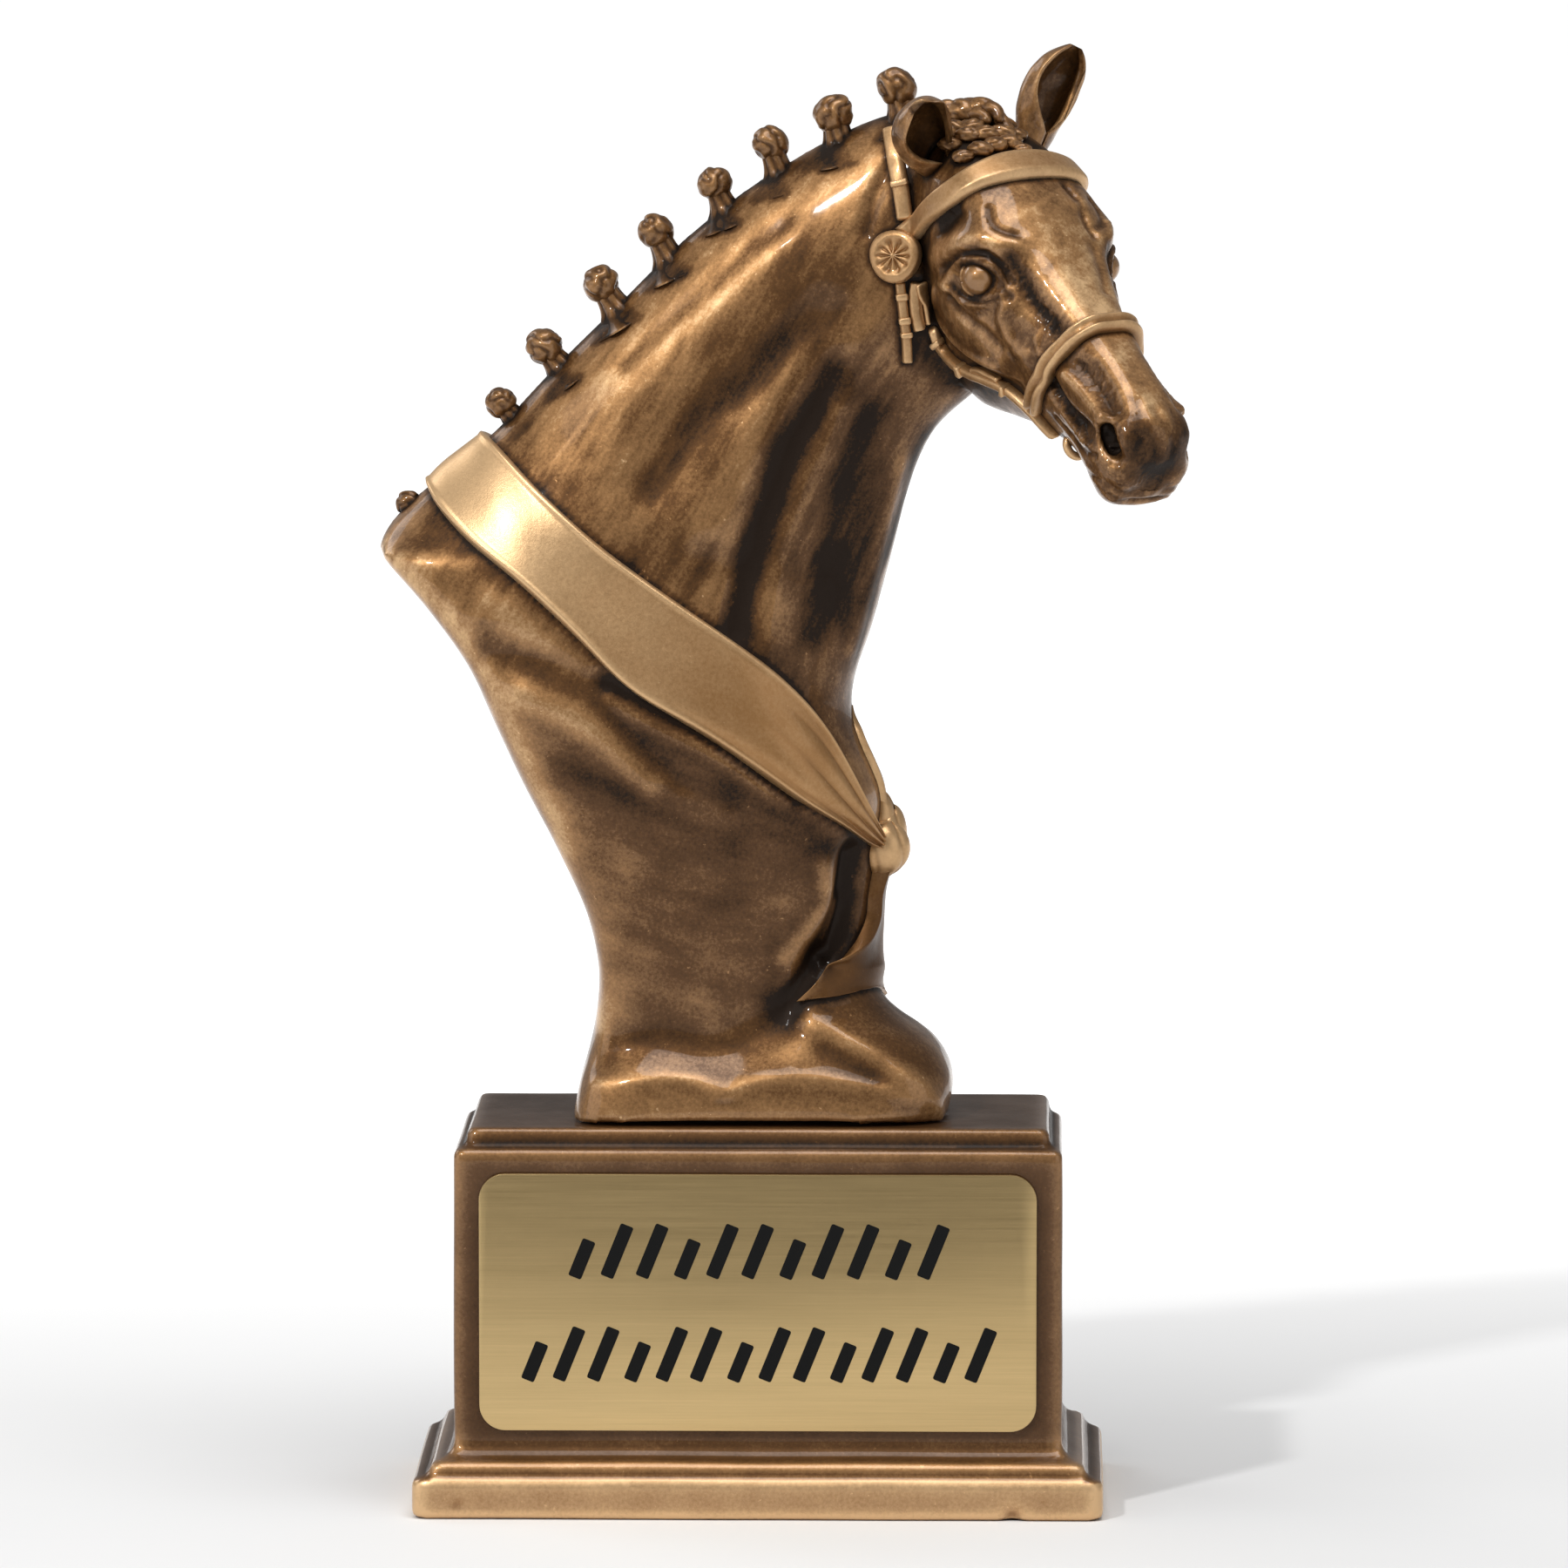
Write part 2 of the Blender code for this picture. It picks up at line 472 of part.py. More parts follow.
def make_bust():
    """one casting: trunk, head, ears, plaits, bridle, sash and rock foot"""
    trunk = lofted("trunk", TRUNK_RINGS, trunk_ring)
    bust = joined("horse_bust", [trunk, lofted("head", HEAD_RINGS, head_ring)])
    apply_modifier(bust, "REMESH", mode="VOXEL", voxel_size=0.6 * UNIT)
    apply_modifier(bust, "SMOOTH", factor=0.5, iterations=8)
    surface = surface_of(bust)
    forms = []
    for table, mirrored in ((HEAD_FORMS, mirrored_on_head), (TRUNK_FORMS, mirrored_on_trunk)):
        for width, height, marks in table.values():
            near = drop_all(surface, marks)
            forms.append((width * UNIT, height * UNIT, near))
            forms.append((width * UNIT, height * UNIT, [mirrored(p) for p in near]))
    press_forms(bust, forms)
    surface = surface_of(bust)
    pieces = [bust] + sash_pieces(surface) + bridle_pieces(surface) + hair_pieces()
    for name, (base, base_y, tip, tip_y, opening, half) in EARS.items():
        pieces.append(ear(name, place(base, base_y), place(tip, tip_y), opening, half))
    bust = joined("horse_bust", pieces)
    apply_modifier(bust, "REMESH", mode="VOXEL", voxel_size=0.42 * UNIT)
    apply_modifier(bust, "SMOOTH", factor=0.4, iterations=1)
    apply_modifier(bust, "DECIMATE", ratio=BUST_TRIANGLES / (2 * len(bust.data.polygons)))
    cut_flat(bust, GAP_MM * MM)
    bust.data.transform(Matrix.Translation((0, 0, PLINTH_HEIGHT_MM * MM)))
    return bust


def sash_pieces(surface):
    near_up, near_low = drop_all(surface, SASH_UPPER), drop_all(surface, SASH_LOWER)
    near_up[0], near_low[0] = place(SASH_UPPER[0], 0), place(SASH_LOWER[0], 0)
    far_up = [mirrored_on_trunk(p) for p in near_up[:0:-1]]
    far_low = [mirrored_on_trunk(p) for p in near_low[:0:-1]]
    sash = band("sash", surface, far_up + near_up, far_low + near_low, 80, 12, SASH_THICK, SASH_DEPTH)
    tail_far = [place(mark, TAIL_Y) for mark in TAIL_FAR]
    tail = band("tail", surface, drop_all(surface, TAIL_NEAR), tail_far, 20, 8, TAIL_THICK, TAIL_DEPTH)
    lean = Matrix.Rotation(KNOT_LEAN, 3, "Y")
    knot = ball("knot", place(KNOT_MARK, KNOT_Y), np.array(KNOT_RADII) * UNIT, lean)
    fold = ball("fold", place(FOLD_MARK, FOLD_Y), np.array(FOLD_RADII) * UNIT)
    return [sash, tail, knot, fold]


def bridle_pieces(surface):
    pieces = [strap(name, surface, marks, width, thick) for name, (width, thick, marks) in STRAPS.items()]
    spot, normal = drop(surface, ROSETTE_MARK)
    radius = ROSETTE_RADIUS * UNIT
    turn = Vector(normal).to_track_quat("Z", "Y").to_matrix()
    pieces.append(ball("rosette", spot + normal * 0.6 * UNIT, (radius, radius, 0.45 * radius), turn))
    spot, normal = drop(surface, EYEBALL_MARK)
    radius = EYEBALL_RADIUS * UNIT
    for centre in (spot - normal * 0.3 * UNIT, mirrored_on_head(spot - normal * 0.3 * UNIT)):
        pieces.append(ball("eye", centre, (radius, radius, radius)))
    centre, radius = place(BIT_MARK, BIT_Y), BIT_RADIUS * UNIT
    bpy.ops.mesh.primitive_torus_add(major_radius=radius, minor_radius=BIT_WIRE * UNIT, major_segments=24,
                                     minor_segments=8, location=centre, rotation=BIT_TURN)
    ring = bpy.context.object
    ring.data.transform(ring.matrix_world)
    ring.matrix_world = Matrix()
    pieces.append(ring)
    return pieces


def hair_pieces():
    pieces = []
    for mark, size, foot, y in PLAITS:
        centre, base, radius = place(mark, y), place(foot, y), size / 2 * UNIT
        pieces.append(ball("button", centre, (0.84 * radius, 0.80 * radius, 0.78 * radius)))
        for k in range(BUTTON_LUMPS):
            turn = 2 * math.pi * (k + 0.5) / BUTTON_LUMPS
            way = np.array([math.cos(turn), 0.55 * (-1) ** k, math.sin(turn)])
            pieces.append(ball("lump", centre + 0.5 * radius * way, [0.5 * radius] * 3))
        points = [centre + (base - centre) * k for k in (0, 0.4, 0.8, 1.15)]
        pieces.append(stalk("stalk", points, [radius * k for k in (0.55, 0.6, 0.95, 1.2)]))
    for mark, radius, y in FORELOCK:
        pieces.append(ball("lock", place(mark, y), np.array([1, 1, 0.85]) * radius * UNIT))
    return pieces


def cut_flat(obj, height):
    """cut the object off flat below a height and close the cut"""
    bm = bmesh.new()
    bm.from_mesh(obj.data)
    everything = bm.verts[:] + bm.edges[:] + bm.faces[:]
    seat = {"plane_co": (0, 0, height), "plane_no": (0, 0, 1)}
    cut = bmesh.ops.bisect_plane(bm, geom=everything, clear_inner=True, **seat)
    rim = [e for e in cut["geom_cut"] if isinstance(e, bmesh.types.BMEdge)]
    bmesh.ops.triangle_fill(bm, edges=rim, use_beauty=True)
    bmesh.ops.recalc_face_normals(bm, faces=bm.faces)
    bm.to_mesh(obj.data)
    bm.free()


def rounded_ring(half_x, half_y, z, radius, arc_steps=4):
    ring = []
    for quarter in range(4):
        sx, sy = ((1, 1), (-1, 1), (-1, -1), (1, -1))[quarter]
        for k in range(arc_steps + 1):
            angle = math.pi / 2 * (quarter + k / arc_steps)
            ring.append((sx * (half_x - radius) + radius * math.cos(angle),
                         sy * (half_y - radius) + radius * math.sin(angle), z))
    return ring


def plinth_profile():
    """heights up the plinth and how far it stands out from the die there"""
    foot, low = FOOT_HEIGHT_MM, FOOT_HEIGHT_MM + 1.9
    rows = [(0.0, 0.90), (0.6, 1.0), (foot - 0.9, 1.0), (foot - 0.25, 0.94), (foot, 0.81)]
    rows = [(z, (FOOT_OUT_MM[0] * share, FOOT_OUT_MM[1] * share)) for z, share in rows]
    edge = [(foot + 0.2, MOULDING_OUT_MM), (foot + 1.3, MOULDING_OUT_MM - 0.1),
        (low - 0.2, MOULDING_OUT_MM - 0.5)]
    cove = [math.radians(90 * k / 4) for k in range(5)]
    edge += [(low + COVE_RADIUS_MM * (1 - math.cos(a)), COVE_RADIUS_MM * (1 - math.sin(a))) for a in cove]
    top = PLINTH_HEIGHT_MM - STEP_HEIGHT_MM
    edge += [(top - 0.7, 0.0), (top - 0.1, -0.5), (top, -STEP_IN_MM)]
    edge += [(PLINTH_HEIGHT_MM - 0.5, -STEP_IN_MM - 0.2), (PLINTH_HEIGHT_MM, -STEP_IN_MM - 0.8)]
    return rows + [(z, (out, out)) for z, out in edge]


def make_plinth():
    """stepped block: flat foot, hollow moulding, plain die and a low step under the bust"""
    rings = []
    for z, (out_x, out_y) in plinth_profile():
        corner = FOOT_CORNER_MM if z <= FOOT_HEIGHT_MM else DIE_CORNER_MM
        half_x, half_y = DIE_WIDTH_MM / 2 + out_x, DIE_DEPTH_MM / 2 + out_y
        rings.append(rounded_ring(half_x * MM, half_y * MM, z * MM, corner * MM))
    return loft("plinth", rings)


def make_name_plate():
    """thin metal plate with round corners and two rows of slanting grooves"""
    low = FOOT_HEIGHT_MM + 1.9 + COVE_RADIUS_MM
    high = PLINTH_HEIGHT_MM - STEP_HEIGHT_MM - 0.7
    half_x, half_z = DIE_WIDTH_MM / 2 - PLATE_MARGIN_MM[0], (high - low) / 2 - PLATE_MARGIN_MM[1]
    middle, back = (low + high) / 2 - 0.4, -(DIE_DEPTH_MM / 2 + GAP_MM)
    outline = rounded_ring(half_x * MM, half_z * MM, middle * MM, PLATE_CORNER_MM * MM, arc_steps=6)
    rings = [[(x, y * MM, z + y_of) for x, y_of, z in outline] for y in (back, back - PLATE_THICK_MM)]
    plate = loft("name_plate", rings)
    cutters = []
    for over, share, count in zip(ROW_OVER_MM, ROW_SHARES, ROW_COUNTS):
        for k in range(count):
            tall = GROOVE_TALL_MM * (1.0 if k % 3 else SHORT_GROOVE)
            x = 2 * half_x * share * (k / (count - 1) - 0.5)
            z = middle + over - (GROOVE_TALL_MM - tall) / 2
            cutters.append(groove_cutter(x * MM, (back - PLATE_THICK_MM) * MM, z * MM, tall * MM))
    cutter = joined("groove_cutter", cutters)
    apply_modifier(plate, "BOOLEAN", object=cutter, operation="DIFFERENCE")
    bpy.data.objects.remove(cutter)
    return plate


def groove_cutter(x, face_y, z, tall):
    """slanting bar with square ends that bites into the plate's face"""
    bm = bmesh.new()
    bmesh.ops.create_cube(bm, size=1)
    bmesh.ops.scale(bm, vec=(GROOVE_WIDE_MM * MM, 2 * GROOVE_DEPTH_MM * MM, tall), verts=bm.verts)
    place_at = Matrix.Translation((x, face_y, z)) @ Matrix.Rotation(GROOVE_LEAN, 4, "Y")
    bmesh.ops.transform(bm, matrix=place_at, verts=bm.verts)
    mesh = bpy.data.meshes.new("groove")
    bm.to_mesh(mesh)
    bm.free()
    return new_object("groove", mesh)


def material(name, colour, roughness, metallic):
    made = bpy.data.materials.new(name)
    made.use_nodes = True
    shader = made.node_tree.nodes["Principled BSDF"]
    shader.inputs["Base Color"].default_value = (*colour, 1)
    shader.inputs["Roughness"].default_value = roughness
    shader.inputs["Metallic"].default_value = metallic
    return made


def main():
    for obj in list(bpy.data.objects):
        bpy.data.objects.remove(obj)
    bronze = material("bronzed_resin", (0.12, 0.068, 0.026), 0.35, 0.6)
    brass = material("brushed_brass", (0.42, 0.32, 0.15), 0.38, 0.9)
    collection = bpy.data.collections.new("horse_trophy")
    bpy.context.scene.collection.children.link(collection)
    for obj, look in ((make_bust(), bronze), (make_plinth(), bronze), (make_name_plate(), brass)):
        obj.data.materials.clear()
        obj.data.materials.append(look)
        collection.objects.link(obj)
        bpy.context.scene.collection.objects.unlink(obj)


main()
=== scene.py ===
"""Horse trophy: the finished look of a cast bust, its plinth and its name plate.

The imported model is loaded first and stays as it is. Pieces with more detail stand in its place,
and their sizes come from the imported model's own boxes. Metres, +Z up, and -Y is the front.
"""
import math

import bmesh
import bpy
import numpy as np
from bpy.props import FloatProperty, FloatVectorProperty, PointerProperty
from mathutils import Matrix, Vector, noise
from mathutils.bvhtree import BVHTree


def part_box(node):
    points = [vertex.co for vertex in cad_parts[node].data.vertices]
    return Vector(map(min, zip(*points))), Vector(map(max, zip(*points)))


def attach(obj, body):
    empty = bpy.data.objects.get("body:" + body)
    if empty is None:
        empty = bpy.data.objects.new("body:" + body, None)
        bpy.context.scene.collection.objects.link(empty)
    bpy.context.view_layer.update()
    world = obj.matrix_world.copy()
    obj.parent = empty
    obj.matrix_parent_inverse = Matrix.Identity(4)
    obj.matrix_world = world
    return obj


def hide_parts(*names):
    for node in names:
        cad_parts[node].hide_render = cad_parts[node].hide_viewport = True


bl_info = {
    "name": "Horse trophy",
    "version": (1, 0, 0),
    "blender": (4, 5, 0),
    "location": "View3D > Sidebar > Trophy",
    "description": "Builds a bronzed show horse bust on a stepped plinth with a name plate",
    "category": "Add Mesh",
}

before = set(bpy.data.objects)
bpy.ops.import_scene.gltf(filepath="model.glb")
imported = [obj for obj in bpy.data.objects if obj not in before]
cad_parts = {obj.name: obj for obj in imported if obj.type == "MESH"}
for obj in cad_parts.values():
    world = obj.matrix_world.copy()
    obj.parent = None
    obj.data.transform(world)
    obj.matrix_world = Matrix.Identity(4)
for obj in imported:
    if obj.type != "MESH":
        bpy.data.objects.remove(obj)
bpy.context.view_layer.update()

MM = 0.001
PLINTH_LOW, PLINTH_HIGH = (np.array(corner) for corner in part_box("plinth"))
PLATE_LOW, PLATE_HIGH = (np.array(corner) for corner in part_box("name_plate"))
BUST_HIGH = np.array(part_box("horse_bust")[1])

# The bust is drawn in units of UNIT from the plinth's top, up to the tip of its far ear
SEAT = np.array([0.0, 0.0, PLINTH_HIGH[2]])
DRAWN_HEIGHT = 133.6
UNIT = (BUST_HIGH[2] - SEAT[2]) / DRAWN_HEIGHT
SEAT_GAP = 0.3

# The trunk's rings, in hundredths of NOMINAL_HEIGHT, from the plinth's top up: the back's and the
# front's place along X and Z, half the thickness, the share of the way from back to front that
# is widest, and how square the back is and the front is (2 is round)
NOMINAL_HEIGHT = 133.5
TRUNK_RINGS = [
    (-18, -2, 17.6, -2, 11.2, 0.5, 7, 4.5),
    (-17.6, 0, 17.6, 0, 11.2, 0.5, 7, 4.5),
    (-17, 3.2, 18.2, 3.4, 10.9, 0.5, 7, 4),
    (-15.9, 7.2, 16.4, 7, 9.8, 0.5, 7, 3.2),
    (-15.3, 11, 12, 10.4, 8.6, 0.5, 7, 2.6),
    (-15.2, 14.6, 10.4, 14.6, 8.4, 0.5, 7, 2.4),
    (-16.3, 20, 10.7, 20, 9.2, 0.5, 7, 2.3),
    (-18.9, 25.6, 11.2, 25.6, 10.4, 0.52, 7, 2.3),
    (-22, 31.4, 11.4, 31.2, 11.4, 0.55, 7, 2.2),
    (-24.8, 37.4, 8.8, 37, 11.4, 0.55, 7, 2.2),
    (-27.4, 43, 8.8, 41, 10.8, 0.55, 7, 2.2),
    (-31.4, 48.4, 10.4, 45.8, 10, 0.56, 7, 2.2),
    (-35.2, 52.6, 11.6, 50.2, 9.2, 0.58, 6, 2.2),
    (-35.7, 54, 12.2, 52.4, 9, 0.58, 3.5, 2.2),
    (-34, 56.6, 12.8, 54.8, 8.9, 0.58, 2.4, 2.2),
    (-30, 60.2, 13.7, 58.4, 8.6, 0.58, 1.9, 2.2),
    (-24.8, 64.5, 15, 62.2, 8.3, 0.57, 1.8, 2.2),
    (-19.5, 70.2, 16.8, 65.2, 7.9, 0.55, 1.8, 2.2),
    (-13.6, 76, 20, 68, 7.6, 0.53, 1.8, 2.2),
    (-8, 81.6, 23, 70.6, 7.4, 0.52, 1.8, 2.2),
    (-2.2, 86.4, 25.5, 73.6, 7.2, 0.5, 1.8, 2.2),
    (4, 90.4, 27.5, 77.4, 7, 0.5, 1.8, 2.2),
    (10, 93.4, 28.5, 82, 6.6, 0.5, 1.9, 2.2),
    (15.5, 95, 28, 87, 5.6, 0.5, 2, 2.2),
]

# The head's rings along the face, in shares of its length from the poll: the top and the
# underside, the half widths at the top, the middle and low down, and the heights of those two
HEAD_RINGS = [
    (-0.12, -0.1, -0.26, 0.035, 0.07, 0.05, -0.16, -0.2),
    (-0.06, -0.03, -0.34, 0.06, 0.105, 0.075, -0.14, -0.25),
    (0.02, 0.02, -0.4, 0.085, 0.135, 0.095, -0.12, -0.29),
    (0.12, 0.045, -0.445, 0.115, 0.158, 0.11, -0.1, -0.32),
    (0.22, 0.052, -0.47, 0.135, 0.17, 0.12, -0.1, -0.33),
    (0.32, 0.046, -0.47, 0.146, 0.176, 0.125, -0.1, -0.33),
    (0.4, 0.026, -0.466, 0.12, 0.163, 0.12, -0.11, -0.33),
    (0.5, 0.002, -0.412, 0.09, 0.135, 0.104, -0.13, -0.29),
    (0.6, -0.018, -0.358, 0.07, 0.112, 0.088, -0.14, -0.258),
    (0.7, -0.03, -0.318, 0.062, 0.1, 0.078, -0.145, -0.24),
    (0.78, -0.034, -0.305, 0.06, 0.1, 0.078, -0.15, -0.238),
    (0.86, -0.044, -0.298, 0.064, 0.112, 0.09, -0.16, -0.24),
    (0.92, -0.07, -0.292, 0.062, 0.108, 0.09, -0.172, -0.244),
    (0.966, -0.118, -0.26, 0.046, 0.08, 0.066, -0.185, -0.234),
]
POLL = (26.5, -4.5, 124.9)
HEAD_LENGTH = 57.5
HEAD_YAW, HEAD_PITCH, HEAD_ROLL = math.radians(55), math.radians(37), math.radians(2.5)

# A mark is (x, z) on the plane through the plinth's axis, as seen from EYE: the spot meant lies
# on the surface before or behind it. Marks and all sizes of the bust are in drawn millimetres
EYE_DISTANCE, EYE_AZIMUTH, EYE_ELEVATION = 1500.0, math.radians(1.2), math.radians(6.6)
EYE_TARGET = (2.9, 0.0, 41.4)

# Marks along the crest's crease and along the rock's edge, which are modelled and also painted: with
# painted shade in the crease, and a painted highlight with rubbed gold along the edge
CREST_CREASE = [(3.4, 112), (-2.2, 107.5), (-7.2, 102.8), (-12.4, 98.4), (-17.1, 94.1)]
ROCK_EDGE = [(6.2, 11.4), (11.1, 8.5), (16.6, 5.2), (20.7, 2.5), (22.5, -1.1)]

# Modelled forms: width and height of the stroke and its marks
HEAD_FORMS = {
    "brow": (1.4, 0.6, [(21.8, 107.6), (24.3, 109.2), (27.9, 109.7), (31, 108.5)]),
    "orbit": (3.2, 1.1, [(27.1, 104.7)]),
    "socket": (1.4, -1.2, [(25.2, 104.7), (28.7, 104.7)]),
    "upper_lid": (0.4, 0.35, [(23.4, 104.7), (24.7, 106.8), (27, 107.5), (29.5, 106.1), (30.6, 103.6)]),
    "lid_crease": (0.4, -0.35, [(23.1, 106.3), (24.7, 108.1), (27, 108.8), (30, 107.2), (31.3, 104.7)]),
    "lower_lid": (0.4, 0.3, [(23.4, 104.1), (25.4, 102.5), (27.7, 102), (30, 103.1)]),
    "under_eye": (0.45, -0.3, [(24, 102.7), (26.2, 101.1), (28.7, 101.1), (30.9, 102.5)]),
    "temple_hollow": (1.3, -0.7, [(23.2, 111.8), (24.7, 112.7)]),
    "facial_crest": (1.0, 0.55, [(30.1, 101.8), (30.4, 99.2), (31.4, 96.7), (33.1, 95.1)]),
    "nose_groove": (1.3, -0.65, [(31.8, 106.9), (33.4, 103.6), (35.6, 100), (37.4, 97.8)]),
    "nose_edge": (1.2, 0.12, [(31.6, 109.8), (34.5, 105.4), (38.1, 100.7), (40.7, 98.9)]),
    "cheek": (3, 0.9, [(25.8, 99.2), (28.3, 96)]),
    "cheek_rim": (0.8, -0.6, [(21.2, 101.8), (22.3, 98.9), (25.1, 95.6), (28.7, 93.2), (32.3, 91.4)]),
    "nose_muscle": (0.9, 0.7, [(38.3, 92.7), (40.3, 90.2), (42.4, 87.2)]),
    "muscle_front": (0.6, -0.5, [(41.6, 94), (43.6, 90.9), (44.9, 88)]),
    "muscle_back": (0.8, -0.7, [(36.3, 92), (38.2, 88.7), (40.4, 85.8)]),
    "nostril_rim": (1.1, 0.4, [(43.1, 86.7), (44.7, 86.9), (45.7, 84.7), (45.6, 82.1)]),
    "nostril": (0.6, -1.8, [(43.4, 85.8), (44, 84), (44.7, 82.9)]),
    "mouth": (0.45, -0.15, [(38.2, 86.5), (40.4, 82.9), (42.9, 79.8), (46.6, 78.7), (50.6, 79.2)]),
    "upper_lip": (0.8, 0.2, [(41.5, 83.6), (44, 81), (47.3, 80)]),
    "chin": (1.3, 0.55, [(41.8, 78.8), (44, 77.6)]),
    "forehead_crease": (0.6, -0.15, [(28.7, 113.8), (29, 112), (30.5, 110.7), (32.5, 110.5)]),
    "muzzle": (2.2, 0.5, [(49.8, 85.4)]),
}
TRUNK_FORMS = {
    "chest_hollow": (1.5, -2.3, [(11.7, 32), (10.8, 27.1), (9.5, 22.7), (7.8, 19.6)]),
    "hollow_low": (0.9, -1.5, [(7.8, 19.6), (6, 16.9), (4.2, 14)]),
    "hollow_cord": (0.6, 0.9, [(10.2, 26.3), (9.2, 23.5), (7.3, 18.6), (4.5, 13.8)]),
    "breast_edge": (1.0, 0.6, [(7.9, 30.9), (8.4, 26.5), (6.2, 23.2), (3.2, 19.3)]),
    "rock_ridge": (1.0, 0.45, ROCK_EDGE),
    "rock_ledge": (0.7, 0.35, [(-21.3, 3.3), (-13, 4.2), (-8.1, 3.8), (-4.8, 2.2), (-0.4, 3.8), (5.6, 4),
        (12.2, 3.3), (19.9, 1.4)]),
    "rock_top": (2.8, -1.9, [(-19.1, 8.2), (-12.5, 9.1), (-6.4, 8.2), (-1.5, 9.3), (2, 11.8)]),
    "rock_slope": (1.8, -0.6, [(8.4, 7.7), (13.9, 4.7)]),
    "crest": (5, 0.2, [(13.8, 116.5), (0.7, 108.3), (-12.4, 97.4), (-24.4, 84.2)]),
    "crest_line": (1.2, -0.22, CREST_CREASE),
    "upper_band": (2.2, 0.15, [(0.7, 108), (-5.8, 102.1), (-11, 97.4), (-16.5, 91.5), (-20, 85.6),
        (-21.6, 80.4)]),
    "poll_fold": (0.7, -0.45, [(16, 118.8), (14.8, 116.3), (13.8, 113.8), (13.2, 110.9)]),
    "neck_dip": (2.6, -0.95, [(7.3, 100.2), (2.6, 96.3), (-1.8, 92.3), (-6.6, 88.6), (-10.5, 84),
        (-13.5, 79.3)]),
    "middle_ridge": (1.6, 0.3, [(5.4, 96), (1.5, 90.8), (-1.2, 85.3), (-3.9, 79.9), (-6.1, 73.8)]),
    "jugular_groove": (1.7, -0.7, [(9.2, 93.9), (7, 89.5), (4.2, 84.3), (2, 79.2), (-0.2, 73.3),
        (-1.9, 67.6), (-3, 61.2)]),
    "front_ridge": (1.8, 0.4, [(9.7, 88.6), (7, 82.4), (3.8, 75.2), (1.6, 68.1), (0.7, 61.5)]),
    "front_hollow": (2.2, -0.6, [(14.4, 91.1), (12, 83.5), (9.5, 75.5), (7.3, 68.1), (6.2, 61.2)]),
    "front_cord": (0.9, 0.35, [(17.6, 81.8), (15.1, 72.5), (13, 64.5), (11.4, 58.5)]),
    "lower_ridge": (2.2, 0.25, [(-8, 76), (-11.1, 70), (-13, 64.5)]),
    "shoulder": (4.5, 0.8, [(-29.9, 63.3), (-20.1, 53.5), (-8.1, 43.6)]),
    "shoulder_groove": (1.8, -0.6, [(-34.3, 58.4), (-26.7, 56.2), (-20.1, 51.8), (-16.3, 46.9),
        (-11.3, 43), (-4.2, 40.1)]),
    "shoulder_ridge": (1.5, 0.6, [(-29.9, 52.3), (-23.9, 49.9), (-18.5, 46), (-14.1, 41.9)]),
    "hem_groove": (0.7, -0.5, [(-20.1, 54.6), (-13, 50.4), (-6.7, 47.4), (-1.3, 43.8), (4.5, 39.8)]),
    "hem_ridge": (0.6, 0.4, [(-19, 52.1), (-13.2, 48.7), (-7.7, 46), (-2.6, 42.7), (2.9, 39)]),
    "breast": (6, 1.1, [(-14.6, 30.3), (-1.5, 25.9)]),
    "breast_arc": (2.0, 0.25, [(-16.3, 30.3), (-8.1, 29.5), (-0.4, 31.5)]),
    "breast_low": (2.4, -0.4, [(-3.7, 14.9), (1.3, 17.1)]),
}

# Sash over the withers: its two edges on the near side, from the withers to the knot
SASH_UPPER = [
    (-35.5, 86.7), (-32.1, 83.1), (-28.2, 78.7), (-21.1, 72.1), (-12.4, 65.6), (-3.7, 59.5),
    (2.9, 54.6), (7.3, 49.1), (10.6, 42.5), (12.7, 38.2), (14.3, 34.8),
]
SASH_LOWER = [
    (-42.4, 80), (-40.8, 76.5), (-36.5, 71.6), (-31, 67.2), (-23.4, 60.1), (-16.8, 53.5), (-8, 48),
    (-1.5, 43.6), (4.5, 39.2), (9.6, 36.5), (14.0, 33.4),
]
SASH_THICK, SASH_DEPTH = 1.5, 1.4
# Lumps of its knot at the breast: mark, Y, radii, lean and a number that varies the folds
KNOT_LUMPS = [
    ((15.7, 34.2), 0.0, (2.5, 3.6, 4.6), math.radians(8.6), 0.0),
    ((14.7, 37.2), -1.0, (2.2, 2.2, 3.5), 0.0, 1.7),
    ((15.4, 33.3), -3.0, (3.2, 2.6, 3.4), 0.3, 3.1),
]
# Hanging tail of the sash: its near edge, and its far edge at a Y of its own
TAIL_Y, TAIL_THICK, TAIL_DEPTH = 4.0, 1.4, 3.0
TAIL_NEAR = [
    (14.3, 32.1), (13.5, 27.4), (13.3, 24.9), (12.4, 22.3), (10.6, 19.7), (8.4, 17.5), (4.8, 13.8),
]
TAIL_FAR = [
    (15.6, 32.1), (15.2, 27.4), (14.9, 24.9), (14.7, 22.3), (14.6, 19.7), (14.6, 17.5), (14.8, 13.8),
]

# Bridle straps, apart from the browband: width, thickness and marks
STRAPS = {
    "crown_strap": (2.1, 1.1, [(18.1, 112.3), (17.6, 115.9), (16.9, 119.9), (16.3, 123.6)]),
    "throat_strap": (1.3, 1.1, [(17.4, 104.7), (17.8, 101), (18.2, 97.4), (18.3, 94.5)]),
    "cheek_strap": (1.3, 1.1, [(19.4, 104), (19.6, 101.4), (19.9, 98.9)]),
    "jaw_strap": (1.3, 1.2, [(21.3, 99), (23.3, 96.1), (25.8, 93.8), (28.7, 92.5), (31.3, 91.2),
        (34.2, 88.7), (37.4, 85.4)]),
    "noseband": (2.4, 1.4, [(34.4, 88.7), (34.9, 91.6), (36.3, 94.5), (38.9, 97.1), (41.8, 99.1),
        (44.1, 99.4), (45.8, 98.6)]),
}
ROSETTE_MARK, ROSETTE_RADIUS = (17.2, 107.8), 3.0
EYEBALL_MARK, EYEBALL_RADIUS = (27.1, 105), 2.1
